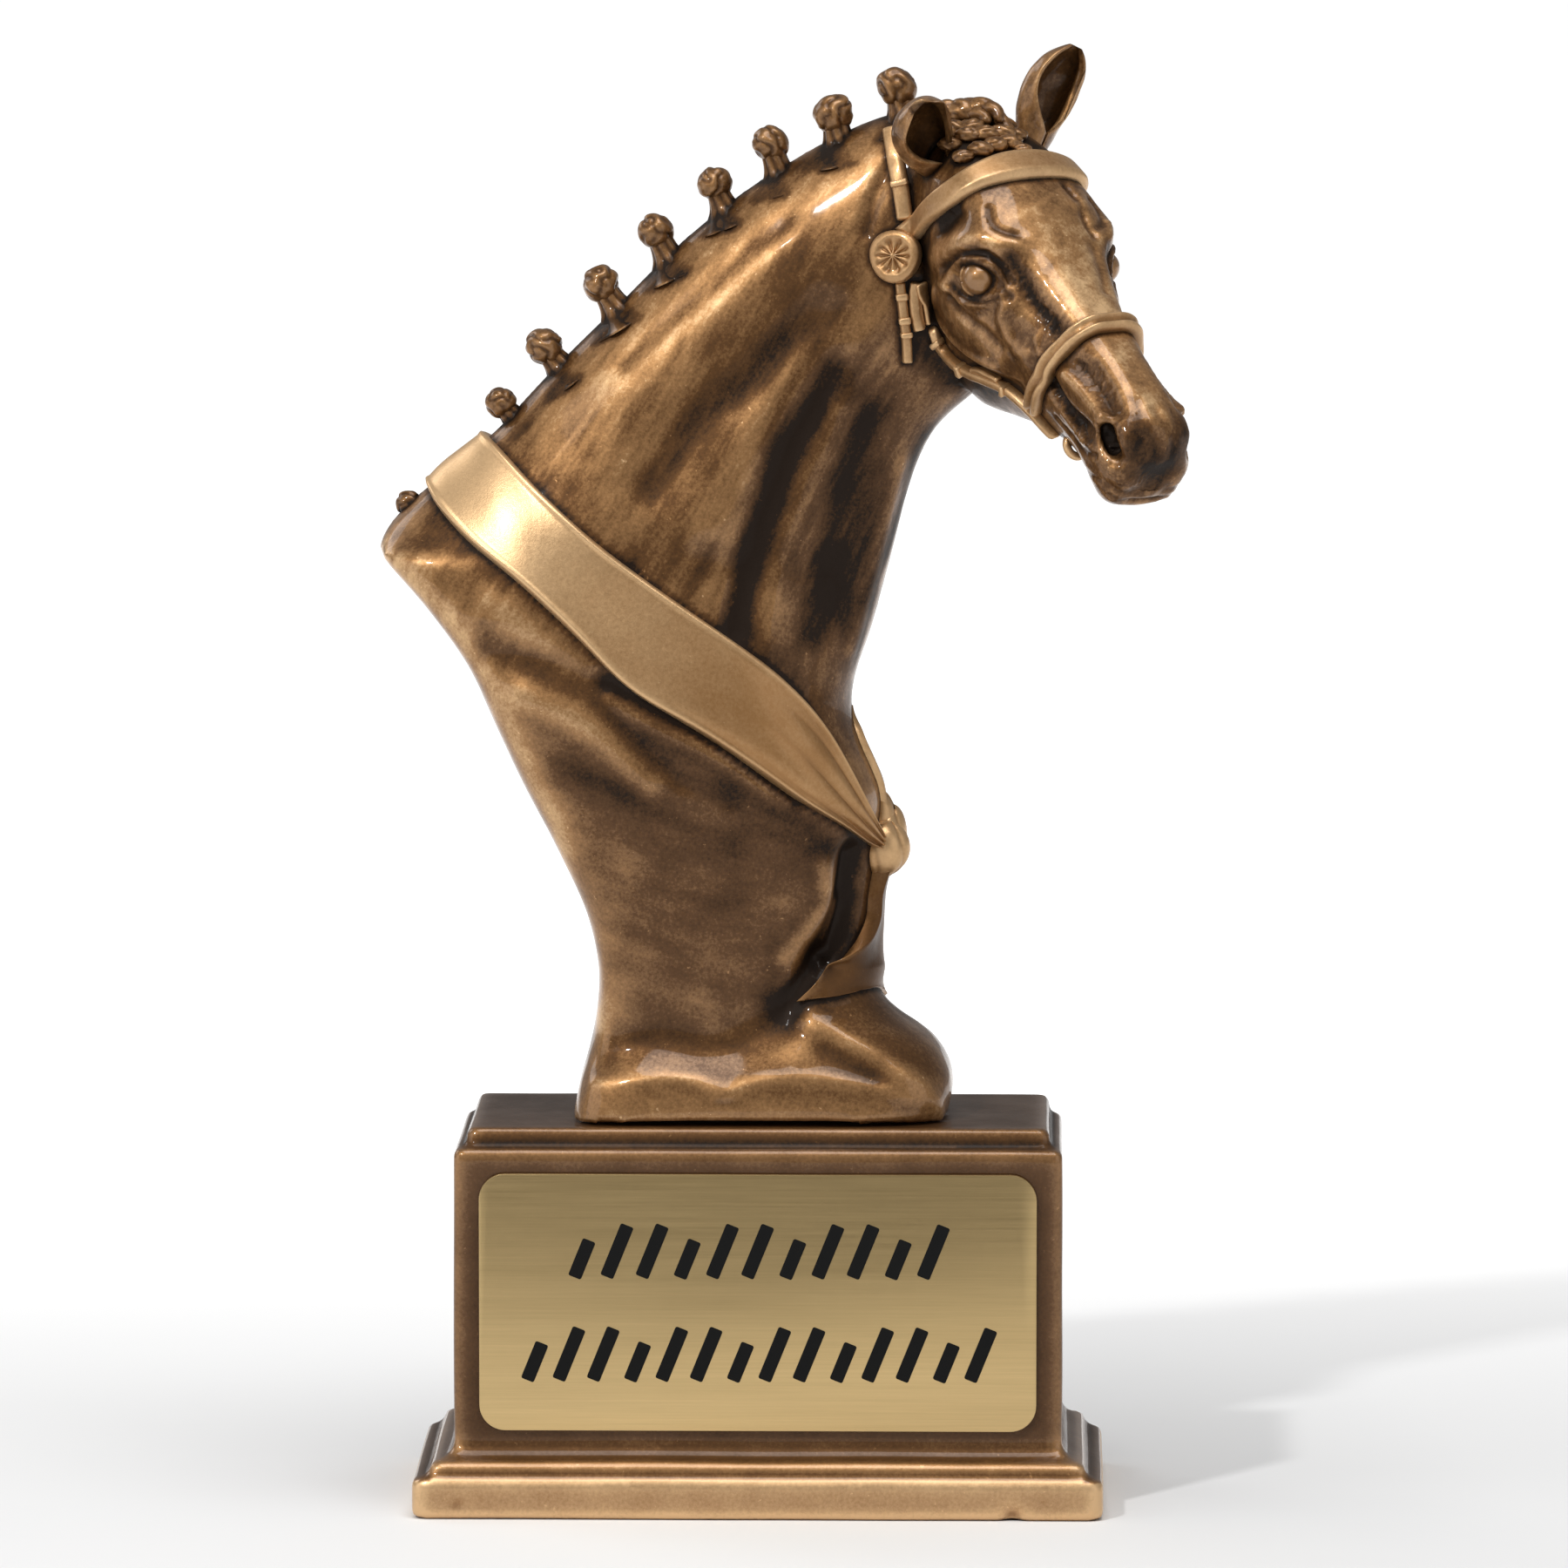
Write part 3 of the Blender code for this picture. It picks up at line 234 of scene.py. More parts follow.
BIT_MARK, BIT_Y, BIT_RADIUS, BIT_WIRE = (39.5, 84.2), -24.0, 1.4, 0.55
BIT_TILT, BIT_SWING = math.radians(75), math.radians(35)

# Button plaits along the crest: mark and size of the button, mark of its foot, and Y
PLAITS = [
    ((17, 129), 5.5, (18.1, 124.7), -1.2),
    ((9.1, 125.7), 5.4, (10, 120.8), -0.6),
    ((1.2, 121.9), 5.0, (2.6, 117.2), 0),
    ((-5.8, 117), 4.8, (-4.2, 112.9), 0),
    ((-13.1, 111), 5.1, (-11.1, 106.6), 0),
    ((-20, 104.4), 5.3, (-17.6, 100.4), 0),
    ((-27.1, 96.5), 5.3, (-24.4, 93), 0),
    ((-32.6, 89.4), 4.4, (-30.2, 86.7), 0),
    ((-44.1, 76.7), 3.7, (-41.9, 75.2), 0),
]
# Knotted forelock between the ears: mark, radius and Y of each lump
FORELOCK = [
    ((21.4, 126), 1.6, -3),
    ((23.4, 125.8), 1.9, -4),
    ((25.3, 125.8), 2.0, -5),
    ((27.3, 126), 2.0, -5),
    ((28.8, 124.9), 1.8, -4),
    ((30.1, 123.8), 1.8, -4),
    ((24.2, 123.4), 1.8, -9),
    ((26.4, 123.4), 1.9, -9),
    ((28.6, 122.3), 1.8, -9),
    ((31, 121.8), 1.3, -5),
]
# Ears: base and tip as mark and Y, way that the opening faces, half width
EARS = {
    "ear_near": ((22.2, 119.0), -9.5, (19.6, 126.6), -18.5, (0.4, -0.88, 0.1), 4.5),
    "ear_far": ((33.6, 121), 0.0, (39.3, 134.1), 1.5, (0.68, -0.73, 0.0), 4.2),
}

# Finer forms of the head: width and height of the stroke and its marks
HEAD_DETAILS = {
    "brow_front": (0.9, 0.15, [(24.7, 109.7), (27.9, 110), (30.9, 109.4), (31.9, 108.5)]),
    "brow_fold": (0.32, -0.42, [(22.6, 106.1), (24, 107.5), (26.1, 108.3), (28.3, 108.1), (30.3, 106.5),
        (31.2, 104.7)]),
    "lid_fold": (0.28, -0.3, [(23.6, 104.3), (25.2, 103.1), (27.6, 102.1), (29.5, 102.7)]),
    "tear_duct": (0.4, -0.6, [(30.1, 104), (31, 102.9)]),
    "eye_back": (0.55, 0.5, [(22.6, 104.4), (23.2, 104)]),
    "cheek_edge": (0.45, 0.45, [(21.8, 103.6), (22.2, 100.7), (23.8, 97.8), (26.2, 95.6), (29.1, 94.1)]),
    "cheek_furrow": (0.5, -0.4, [(23.6, 102.7), (25.2, 100.7), (28, 98.5), (29.8, 96.5)]),
    "face_crest": (0.6, 0.2, [(30.8, 102.7), (30.2, 101.1), (30.4, 99.1), (31.4, 97.1), (33.1, 95.9)]),
    "crest_back": (0.6, -0.3, [(29.2, 101.8), (29, 99.6), (30.2, 97.1), (31.6, 95.2)]),
    "face_vein": (0.32, 0.2, [(34.4, 97.8), (34.7, 96.2), (35.7, 95.3), (36.7, 95.9)]),
    "face_vein_low": (0.32, 0.18, [(31.6, 95.6), (33.4, 95.8), (35, 95.5)]),
    "bone_edge": (0.9, 0.02, [(32, 108.4), (34.1, 105.1), (36.3, 102), (38.6, 99.3)]),
    "bone_groove": (0.6, -0.4, [(31.1, 107.5), (32.6, 104.7), (34.5, 101.8), (36.5, 99.6)]),
    "bone_far": (1.2, 0.05, [(38.1, 112.3), (40.3, 107.6), (42.3, 103.3), (43.6, 100.7)]),
    "forehead_curl": (0.36, -0.28, [(28.5, 113.9), (28.7, 112.5), (29.8, 111.2), (31.9, 110.5)]),
    "forehead_line": (0.5, -0.12, [(27.9, 110), (29.8, 108.9), (31.4, 108.5)]),
    "temple": (0.9, -0.55, [(22.7, 111.6), (24.5, 113.4)]),
    "far_brow": (0.7, 0.45, [(39.9, 114.2), (41.9, 114.5), (43, 113.4)]),
    "far_brow_fold": (0.45, -0.4, [(38.1, 116.7), (39.6, 114.8), (40.6, 112.3), (41.7, 110.5)]),
    "far_lid": (0.4, 0.35, [(43.4, 112), (43.6, 110.2)]),
    "far_cheek": (0.6, -0.35, [(41.7, 108.9), (42.5, 106.5), (43.2, 103.6)]),
    "tube": (0.5, 0.55, [(38.1, 93), (39.7, 91.5), (41.4, 89.4), (42.6, 87.6)]),
    "tube_front": (0.42, -0.5, [(39.8, 94.5), (41.4, 92.7), (42.9, 90.5), (44.1, 88.3)]),
    "tube_back": (0.5, -0.6, [(36.5, 92.3), (37.8, 90.1), (39.4, 88), (41.4, 86)]),
    "lip_fold": (0.3, 0.35, [(37.8, 88.3), (39, 86.7), (40.3, 84.9), (41.3, 84)]),
    "lip_fold_low": (0.3, -0.4, [(37, 87.6), (38.5, 85.8), (40, 83.8), (41.8, 82.9)]),
    "nostril_top": (0.9, 0.15, [(42.5, 85.6), (43, 87.2), (44.2, 87.7), (45.3, 86.9), (45.7, 85.4)]),
    "nostril_side": (0.9, 0.15, [(45.7, 85.2), (45.6, 84), (44.9, 82.8), (44.1, 82.4)]),
    "nostril_deep": (0.6, -1.3, [(43.2, 86.1), (43.5, 85), (44.2, 83.8)]),
    "muzzle_line": (0.5, -0.12, [(47.1, 89.7), (47.7, 87.6), (49.1, 85), (49.5, 82.9)]),
    "muzzle_line_two": (0.5, -0.1, [(49.4, 88.7), (50.9, 86.5), (51.7, 84)]),
    "lip_edge": (0.5, 0.12, [(44, 81), (46.2, 79.6), (49.1, 79.2), (51.7, 80.3)]),
    "mouth_line": (0.35, -0.22, [(39.7, 82.4), (41.5, 80.3), (44, 78.8), (47.3, 78.2)]),
    "lip_fill": (0.7, 0.45, [(47.6, 78.4), (50.6, 79), (51.8, 79.6)]),
    "chin_crease": (0.35, -0.3, [(43.7, 77.8), (46.2, 77.2), (49.5, 77.4)]),
}
# Rough patches of the head: width, how deep the grains go, and marks
HEAD_GRAINS = {
    "bone_groove": (0.9, 0.32, [(31.9, 106.5), (34.1, 102.9), (36.3, 99.3), (37.8, 98.2)]),
    "under_tube": (0.7, 0.35, [(36.7, 91.6), (38.5, 88.7), (40.7, 85.4)]),
    "beside_tube": (0.6, 0.3, [(40.3, 94.5), (43.2, 90.5)]),
    "temple": (0.6, 0.2, [(23.2, 112), (24.3, 113.1)]),
    "upper_lip": (0.8, 0.1, [(44.4, 81), (47.6, 79.6)]),
}
# Painted highlights and painted shade of the bust, with rubbed gold and dark wash in them: width, how much
# lighter (or darker), and marks
# The rubs are painted highlights as well as rubbing, the sheens and the rock's light are painted
# reflections, and the shades, dark edges and dark lines are painted shade
BUST_TONES = {
    "crest_rub_and_highlight": (2.6, 0.6, [(13.8, 117.6), (2.9, 112.1), (-8, 103.4), (-18.9, 93), (-25.5, 85.3)]),
    "crest_shade": (2.2, -0.35, [(5.6, 98.7), (2, 95.8), (-1.8, 92.3), (-6.6, 88.6), (-10.5, 84)]),
    # painted shade along the crest's edge between the plaits
    "crest_edge": (0.9, -0.9, [(14.5, 124.9), (6.2, 119.9), (-2.3, 115.8), (-8.6, 110.6),
        (-16.7, 103.5), (-23.1, 96.5), (-29.7, 89.3), (-32.3, 87)]),
    # painted highlight streak along the crest
    "crest_streak": (0.9, 0.35, [(0.7, 108), (-5.8, 102.1), (-11, 97.4), (-16.5, 91.5), (-20, 85.6)]),
    # painted shade in the crest's crease
    "crest_line": (0.7, -0.4, CREST_CREASE),
    "neck_shade": (1.5, -0.75, [(8.4, 92.8), (6.8, 89.5), (5.3, 86.2), (3.4, 82.6), (2, 78.8),
        (0.5, 74.4), (-1.3, 68.9), (-2.6, 61.7)]),
    "neck_shade_wide": (2.6, -0.5, [(5.1, 85.3), (2.9, 81), (1.6, 76.6), (0.3, 72.7)]),
    "neck_foot_shade": (2.6, -0.55, [(-2.6, 59.6), (1.3, 56.3), (4.5, 52.4)]),
    # painted shade on the neck's front
    "neck_front_dark": (1.4, -0.8, [(9.2, 70), (8.4, 64.5), (6.8, 59.6)]),
    "front_shade": (3.2, -0.75, [(14.2, 88.6), (12.2, 81), (11.4, 72.2), (10.3, 64.5)]),
    "front_edge_shade": (1.3, -0.8, [(20.6, 85.4), (17.3, 75.5), (14.4, 66.7), (12.2, 59)]),
    "middle_rub_and_highlight": (2.6, 0.3, [(-9.1, 91.9), (-15.1, 83.1), (-19, 75.4)]),
    "fold_rub_and_highlight": (1.6, 0.3, [(-0.6, 88.6), (-2.3, 81), (-3.9, 72.2), (-5.8, 64.5)]),
    "throat_rub_and_highlight": (2.4, 0.3, [(14.9, 103.9), (13.8, 93), (19.3, 90.3)]),
    "shoulder_rub_and_highlight": (3.0, 0.1, [(-31, 63.3), (-20.1, 52.4), (-8.1, 41.4)]),
    "sash_shade": (1.0, -0.6, [(-40.8, 74.3), (-29.9, 64.4), (-16.8, 51.8), (-5.9, 43.6), (2.9, 38.6),
        (8.9, 33.1)]),
    "band_shade": (2.2, -0.35, [(-14.1, 46.9), (-8.1, 42.5), (-2.6, 38.1), (6.2, 32.6)]),
    "sheen_high": (2.0, 0.55, [(-34.5, 65.5), (-28.8, 60.9), (-23.1, 56.5)]),
    "sheen_low": (1.6, 0.15, [(-29.5, 52.1), (-24.3, 49), (-17.7, 45.1)]),
    "sheen_low_shade": (1.6, -0.35, [(-25.6, 43.5), (-19, 40.8), (-10.2, 38.1)]),
    "breast_low_shade": (6.0, -0.22, [(-1.5, 29.3), (5.1, 26)]),
    "belly_rub_and_highlight": (3.0, 0.10, [(-11.4, 18.2), (-1.5, 17.1)]),
    "breast_shade": (4.0, -0.22, [(-25.6, 43.5), (-16.8, 35.8), (-8.1, 30.3), (-1.5, 23.7)]),
    "hollow_shade": (2.0, -1.3, [(11.4, 34.3), (11.1, 27.1), (9.3, 21), (5.6, 16), (3.4, 13.6)]),
    "rock_light": (2.2, 0.3, [(-16.9, 6.5), (-9.2, 6.9), (-2.6, 7.7), (1.8, 9.9)]),
    "boulder_shade": (4.0, -0.35, [(19.4, 8.3), (20.5, 5)]),
    "rock_rub_and_highlight": (0.9, 0.2, ROCK_EDGE),
    "rock_low_shade": (1.6, -0.25, [(-19.1, -0.5), (-8.1, -0.7), (8.4, -0.6), (18.3, -1.1)]),
    "back_rub_and_highlight": (1.4, 0.6, [(-47.4, 71.2), (-40.9, 64.4), (-33.2, 52.3), (-25.6, 35.8), (-21.2, 21.5),
        (-20.2, 10.4)]),
    "bone_rub_and_highlight": (2.8, 0.65, [(33, 113.8), (36.3, 108.7), (39.6, 103.6), (41.8, 100.7)]),
    "forehead_shade": (2.4, -0.15, [(27.2, 112.3), (31.6, 115.2)]),
    "bone_shade": (0.9, -0.8, [(31.6, 108), (33.8, 103.6), (36, 100.3), (38.1, 98.5)]),
    "cheek_rub_and_highlight": (2.0, 0.3, [(25.8, 100.7), (28.7, 97.1)]),
    "jaw_shade": (1.2, -0.8, [(21.3, 95.2), (24, 92.3), (29.1, 91), (32.7, 90.1)]),
    "strap_shade": (1.1, -0.9, [(20.9, 108.7), (20.8, 102.9), (19.6, 97)]),
    "muzzle_shade": (1.8, -0.6, [(47.6, 84.7), (49.1, 81.4), (51.3, 82.1)]),
    "nostril_shade": (0.6, -1.8, [(43.3, 86), (44.1, 84)]),
    "muzzle_rub_and_highlight": (1.4, 0.5, [(44.7, 95.6), (47.6, 91.3), (49.4, 88.7)]),
    "temple_shade": (0.7, -0.7, [(22.9, 111.6), (24.7, 113.4)]),
    "eye_shade": (0.5, -0.5, [(23.6, 106.5), (27.2, 108.5), (30.1, 105.8), (29.8, 103.2), (27.2, 102),
        (24, 103.6)]),
    "brow_rub_and_highlight": (0.9, 0.4, [(21.6, 108.3), (24.7, 109.7), (28.3, 109.7)]),
    "poll_shade": (1.6, -0.9, [(24.3, 120.7), (27.9, 121), (30.8, 122.1)]),
    "lip_shade": (0.8, -0.7, [(37.1, 90.9), (39.3, 87.2), (41.1, 84.7)]),
}
# Lids: thickness and marks from the eye's back corner to its front corner
LIDS = {
    "upper": (0.42, [(23, 104.4), (23.8, 106.1), (25.4, 107.2), (27.3, 107.4), (29, 106.6), (30.4, 104.3)]),
    "lower": (0.34, [(23.1, 104.2), (24.4, 103.5), (26.2, 102.7), (28.1, 102.8), (30.4, 103.9)]),
}

# Strip of the sash that shows past the neck, on the far side: its two edges and their Y
FAR_STRIP_OUTER = [(10.3, 51.7), (12.8, 47.5), (14.9, 43.1), (16.2, 39.2), (16.9, 35.4)]
FAR_STRIP_INNER = [(10.2, 51.3), (10.6, 47.8), (11.4, 44.1), (13, 41.4), (14.3, 37.6)]
FAR_STRIP_OUTER_Y, FAR_STRIP_INNER_Y = (10, 9, 7, 4.5, 2.5), (0, -2, -3, -3, -2)
# Straps that have a twin on the far side
FAR_STRAPS = ("crown_strap", "cheek_strap", "jaw_strap")
ROSETTE_PETALS, ROSETTE_SWELL, ROSETTE_LEAN = 10, 1.1, np.array([-0.4, 0.0, 0.12])
# Where the skin's mesh is split twice: how far round the eye, the nostril and the lip, and then
# round the far eye and the far nostril
NOSTRIL_MARK, LIP_MARK = (43.6, 85.1), (45.5, 78.9)
FINEST_REACH = (4.6, 4.0, 4.4, 4.0, 3.5)
# Share of the near side's fine forms and grains that the far side has, and the size of a grain
FAR_DETAILS, FAR_GRAINS, GRAIN_SIZE = 0.8, 0.5, 0.32
# Eyeball: how deep its middle is under the skin. Lids: how far out they lie, as shares of the
# way to the skin and of the eyeball's radius
EYEBALL_SUNK, LID_REACH, LID_CLEARANCE = 0.3, 0.6, 1.03
# Ears: thickness, bend backwards as a share of the length, and the two halves' gap in degrees
# where the ear is a tube and where it is open
EAR_WALL, EAR_BEND, EAR_GAP_CLOSED, EAR_GAP_OPENS = 0.8, 0.10, 3, 62
# How deep a strap lies under the skin, and how deep the browband does
STRAP_DEPTH, BROWBAND_DEPTH = 0.9, 0.6
# Stalk of a plait: shares of the way from the button's middle to its foot
STALK_SHARES = (0.1, 0.4, 0.7, 0.95, 1.3)

# The plinth's steps and the plate's grooves, in millimetres
FOOT_OUT, FOOT_HEIGHT = (5.2, 4.0), 5.2
MOULDING_OUT, COVE = 3.0, 2.2
STEP_IN, STEP_HEIGHT = 1.5, 2.4
PLINTH_TOP = (PLINTH_HIGH[2] - PLINTH_LOW[2]) / MM
FOOT_CORNER, DIE_CORNER = 1.8, 0.8
PLATE_CORNER = 3.3
PLATE_ROWS = [(6.5, 0.63, 11), (-6.5, 0.80, 14)]
GROOVE_WIDE, GROOVE_TALL, GROOVE_LEAN = 1.7, 7.0, math.radians(22)
SHORT_GROOVE = 0.72
# Plate's chamfer, and its black strokes: how far their middle is behind the face, thickness and
# rounding
PLATE_CHAMFER, STROKE_SUNK, STROKE_THICK, STROKE_ROUND = 0.12, 0.03, 0.12, 0.25
# Chips of the casting: place, width and depth
CHIPS = [((31.8, -22.0, 0.4), 0.8, 0.6), ((-37.5, -22.0, 2.0), 0.5, 0.15)]
# Waves of the casting: their length, their height and how near a face of the box they stay flat
WAVE_LENGTH, WAVE_HEIGHT, FLAT_MARGIN = 14, 0.10, 0.12
# Tones of the plinth's parts, with painted shade on the faces that look up, and the heights between which
# those of two parts come or go
FOOT_TONE, TOPS_PAINTED_SHADE, MOULDING_TONE, STEP_TONE, FRAME_TONE = 1.25, -0.22, 0.6, -0.25, -0.2
MOULDING_GOES, FRAME_COMES, FRAME_GOES = (9.0, 10.5), (10.0, 12.0), (36.0, 44.0)

# Painted highlights and painted shade of the sash's pieces: width, how much lighter (or darker), Y and
# marks
PIECE_TONES = {
    "sash": [(10.0, 1.0, -7, [(-40.3, 80.9), (-34.3, 74.3)]),
             (8.0, -0.65, -12, [(-1.5, 49.1), (5.1, 41.4), (11.7, 34.8)])],
    "sash_far": [(5.0, -0.5, 2, [(12.8, 45.8), (15.5, 39.2)])],
    "sash_tail": [(7.0, -3.0, -6, [(14.7, 27.1), (14.3, 21.6), (11.1, 16)])],
    "sash_knot": [(2.0, 0.4, -3, [(16, 34.8)])],
}

NOT_BUST = ("horse_bust", "plinth", "name_plate", "plinth_casting", "name_plate_brushed",
            "plate_strokes", "floor")
# Patina and painted shade where two surfaces meet, on the skin and on what lies on it: how dark and how far
# it reaches
SKIN_PATINA_AND_SHADE, PIECE_PATINA_AND_SHADE = (1.1, 0.9), (0.9, 0.6)

# Bronze: where its four colours stand on the way from the hollows to the ridges, the heights
# between which the brushed streaks turn from lying down to standing up, and their two slopes
COLOUR_STOPS = (0.0, 0.36, 0.68, 1.0)
STREAKS_TURN = (95 * MM, 118 * MM)
STREAK_UP, STREAK_DOWN = math.radians(-60), math.radians(20)

# Floor, and how wide the camera's picture is at the trophy, in metres
FLOOR_RADIUS, BACKDROP_GLOW, BACKDROP_DEPTH = 9.0, 0.78, 0.5
SENSOR, FRAME_WIDTH, FAR_CLIP = 36.0, 0.1971, 100
# Lights: place, size, the power that it takes and how many times that power
LIGHT_AIM = (0.0, 0.0, 0.1)
LIGHTS = {
    "key_light": ((-0.55, -0.85, 0.95), 0.08, "key_power", 1.0),
    "top_light": ((0.1, -0.35, 1.35), 0.85, "top_power", 1.0),
    "fill_light": ((0.95, -0.7, 0.45), 0.9, "fill_power", 1.0),
    "side_light": ((-1.2, -0.5, 0.45), 1.0, "fill_power", 2.0),
    "back_light": ((-0.7, 0.5, 0.6), 0.4, "fill_power", 0.7),
}

# Keepers that sit on the straps: how much thicker than their strap, rounding, and the mark,
# length and width of each
KEEPER_OVER, KEEPER_ROUND = 0.6, 0.25
KEEPERS = {
    "throat_strap": [((17.4, 102.7), 0.9, 1.5), ((17.7, 99.8), 0.9, 1.5), ((18.1, 98.1), 0.7, 1.5)],
    "jaw_strap": [((22.6, 97.2), 0.8, 1.6), ((25.5, 94.1), 0.9, 1.6), ((30.9, 91.5), 0.7, 1.5)],
    "crown_strap": [((17.1, 116.7), 0.8, 2.2)],
}
# Browband, as a band between two edges, and short straps: width, thickness and marks
BROWBAND_UPPER = [
    (16.8, 111.3), (18.1, 112.3), (20.5, 114.3), (24.7, 117.7), (30.1, 120.4), (33, 121.3), (35.9, 121),
    (38.3, 119.6),
]
BROWBAND_LOWER = [
    (18.8, 109.3), (20.3, 110.4), (22.2, 112.6), (25.2, 114.8), (29, 116.7), (33.4, 117.9),
    (36.6, 118.2), (39.4, 117.4),
]
BROWBAND_THICK = 1.25
SHORT_STRAPS = {
    "cheek_loop": (1.5, 1.3, [(19.5, 104.7), (19.2, 102.9), (19.3, 100.7), (19.8, 98.5)]),
    "cheek_cord": (0.7, 1.6, [(20.6, 104.7), (20.8, 102.1), (20.8, 99.2)]),
    "curb_strap": (0.8, 0.9, [(26.7, 93.7), (28.3, 93.5), (30.1, 92.6)]),
}

# Lumps of hair that lie on the skin before the browband
HAIR_LUMPS = [
    ((23.8, 121.6), 1.2), ((25.4, 120.1), 1.1), ((27.4, 120.9), 1.3), ((29.2, 121.5), 1.3),
    ((31, 121.8), 1.3), ((32.5, 121), 1.0), ((30.1, 122.9), 1.4), ((27.9, 122.8), 1.4),
    ((25.9, 122.7), 1.3), ((31.9, 122.8), 1.1),
]

# Locks of the forelock: half width from root to end, Y of the ends, and marks
FORELOCK_LOCKS = [
    (1.2, (-3, -8), [(23, 126), (25, 126), (27.2, 125.5), (28.6, 124.7)]),
    (1.1, (-4, -8), [(24.7, 126.9), (27.2, 126.8), (29.2, 126.1), (30, 124.7)]),
    (1.2, (-7, -10), [(23.6, 124.2), (25.5, 123.6), (27.6, 123), (29.4, 122.8)]),
    (1.1, (-5, -8), [(28.1, 126.1), (29.7, 125), (30.8, 123.6), (32.1, 122.1)]),
    (0.8, (-8, -10), [(24.3, 122.8), (26.5, 121.8), (28.7, 121.6)]),
    (0.8, (-4, -7), [(30.5, 124.7), (31.5, 123.2), (33, 121.8)]),
]


def smooth_between(low, high, x):
    t = np.clip((x - low) / (high - low), 0, 1)
    return t * t * (3 - 2 * t)


def axes_of_head():
    """unit vectors along the face, to the near side and up from the forehead"""
    along = np.array([math.cos(HEAD_PITCH) * math.cos(HEAD_YAW),
                      -math.cos(HEAD_PITCH) * math.sin(HEAD_YAW), -math.sin(HEAD_PITCH)])
    side = np.array([-math.sin(HEAD_YAW), -math.cos(HEAD_YAW), 0.0])
    top = np.cross(side, along)
    top = top if top[2] > 0 else -top
    c, s = math.cos(HEAD_ROLL), math.sin(HEAD_ROLL)
    return np.array([along, side * c - top * s, top * c + side * s])


HEAD_AXES = axes_of_head()


def head_point(u, v, w):
    """point of the head from shares of its length along, to the near side and up"""
    return SEAT + UNIT * (np.array(POLL) + HEAD_LENGTH * (np.array([u, v, w]) @ HEAD_AXES))


def on_head(points):
    """shares of the head's length along, to the near side and up, for an array of points"""
    return ((points - SEAT) / UNIT - np.array(POLL)) @ HEAD_AXES.T / HEAD_LENGTH


def mirrored_on_head(point):
    u, v, w = on_head(np.array(point))
    return head_point(u, -v, w)


def mirrored_on_trunk(point):
    return np.array([point[0], -point[1], point[2]])


def catmull(rows, t):
    """smooth value at t, counted in rows"""
    rows = np.asarray(rows, float)
    i = int(min(max(math.floor(t), 0), len(rows) - 2))
    f = t - i
    b, c = rows[i], rows[i + 1]
    a = rows[i - 1] if i > 0 else 2 * b - c
    d = rows[i + 2] if i + 2 < len(rows) else 2 * c - b
    return 0.5 * (2 * b + (c - a) * f + (2 * a - 5 * b + 4 * c - d) * f ** 2
                  + (3 * b - a - 3 * c + d) * f ** 3)


def smooth_line(points, count):
    """count points evenly along a smooth curve through the given ones"""
    points = np.array(points, float)
    run = np.concatenate([[0], np.cumsum(np.linalg.norm(np.diff(points, axis=0), axis=1))])
    at = np.interp(np.linspace(0, run[-1], count), run, np.arange(len(points)))
    return np.array([catmull(points, t) for t in at])


def eye_and_ray(mark):
    """the viewer's eye and the line of sight through a mark"""
    c, s = math.cos(EYE_ELEVATION), math.sin(EYE_ELEVATION)
    back = np.array([math.sin(EYE_AZIMUTH) * c, -math.cos(EYE_AZIMUTH) * c, s])
    eye = SEAT + (np.array(EYE_TARGET) + back * EYE_DISTANCE) * UNIT
    ray = SEAT + np.array([mark[0], 0, mark[1]]) * UNIT - eye
    return eye, ray / np.linalg.norm(ray)


def place(mark, y):
    """point with the given Y on the line of sight through a mark"""
    eye, ray = eye_and_ray(mark)
    return eye + ray * ((y * UNIT - eye[1]) / ray[1])


def drop(surface, mark):
    """surface point and normal where the line of sight through a mark meets it or passes nearest"""
    eye, ray = eye_and_ray(mark)
    hit, normal, _, _ = surface.ray_cast(Vector(eye), Vector(ray))
    if hit is None:
        probe = SEAT + np.array([mark[0], 0, mark[1]]) * UNIT
        for _ in range(6):
            hit, normal, _, _ = surface.find_nearest(Vector(probe))
            probe = eye + ray * np.dot(np.array(hit) - eye, ray)
    return np.array(hit), np.array(normal)


def drop_all(surface, marks):
    return [drop(surface, mark)[0] for mark in marks]


def nearest(surface, points):
    """nearest surface points and their normals for an array of points"""
    found = [surface.find_nearest(Vector(p)) for p in points]
    return np.array([f[0] for f in found]), np.array([f[1] for f in found])


def unit_rows(rows):
    return rows / np.maximum(np.linalg.norm(rows, axis=-1, keepdims=True), 1e-12)


def facing(normal):
    """turn that lays the Z axis along a normal"""
    return Vector(normal).to_track_quat("Z", "Y").to_matrix().to_4x4()


def on_ball(u, v):
    """angle round a ball's axis, and unit vectors from its middle, for u and v from 0 to 1"""
    turn, rise = 2 * math.pi * u, math.pi * v
    return turn, np.stack([np.sin(rise) * np.cos(turn), np.sin(rise) * np.sin(turn), np.cos(rise)], 1)


def round_edges(bm, edges, radius, segments=3):
    bmesh.ops.bevel(bm, geom=edges, offset=radius, affect="EDGES", segments=segments, profile=0.5,
                    material=-1)


def object_from(bm, name):
    """linked object with the bmesh as its smooth mesh"""
    bmesh.ops.delete(bm, geom=[v for v in bm.verts if not v.link_faces], context="VERTS")
    mesh = bpy.data.meshes.new(name)
    bm.to_mesh(mesh)
    bm.free()
    mesh.shade_smooth()
    obj = bpy.data.objects.new(name, mesh)
    bpy.context.scene.collection.objects.link(obj)
    return obj


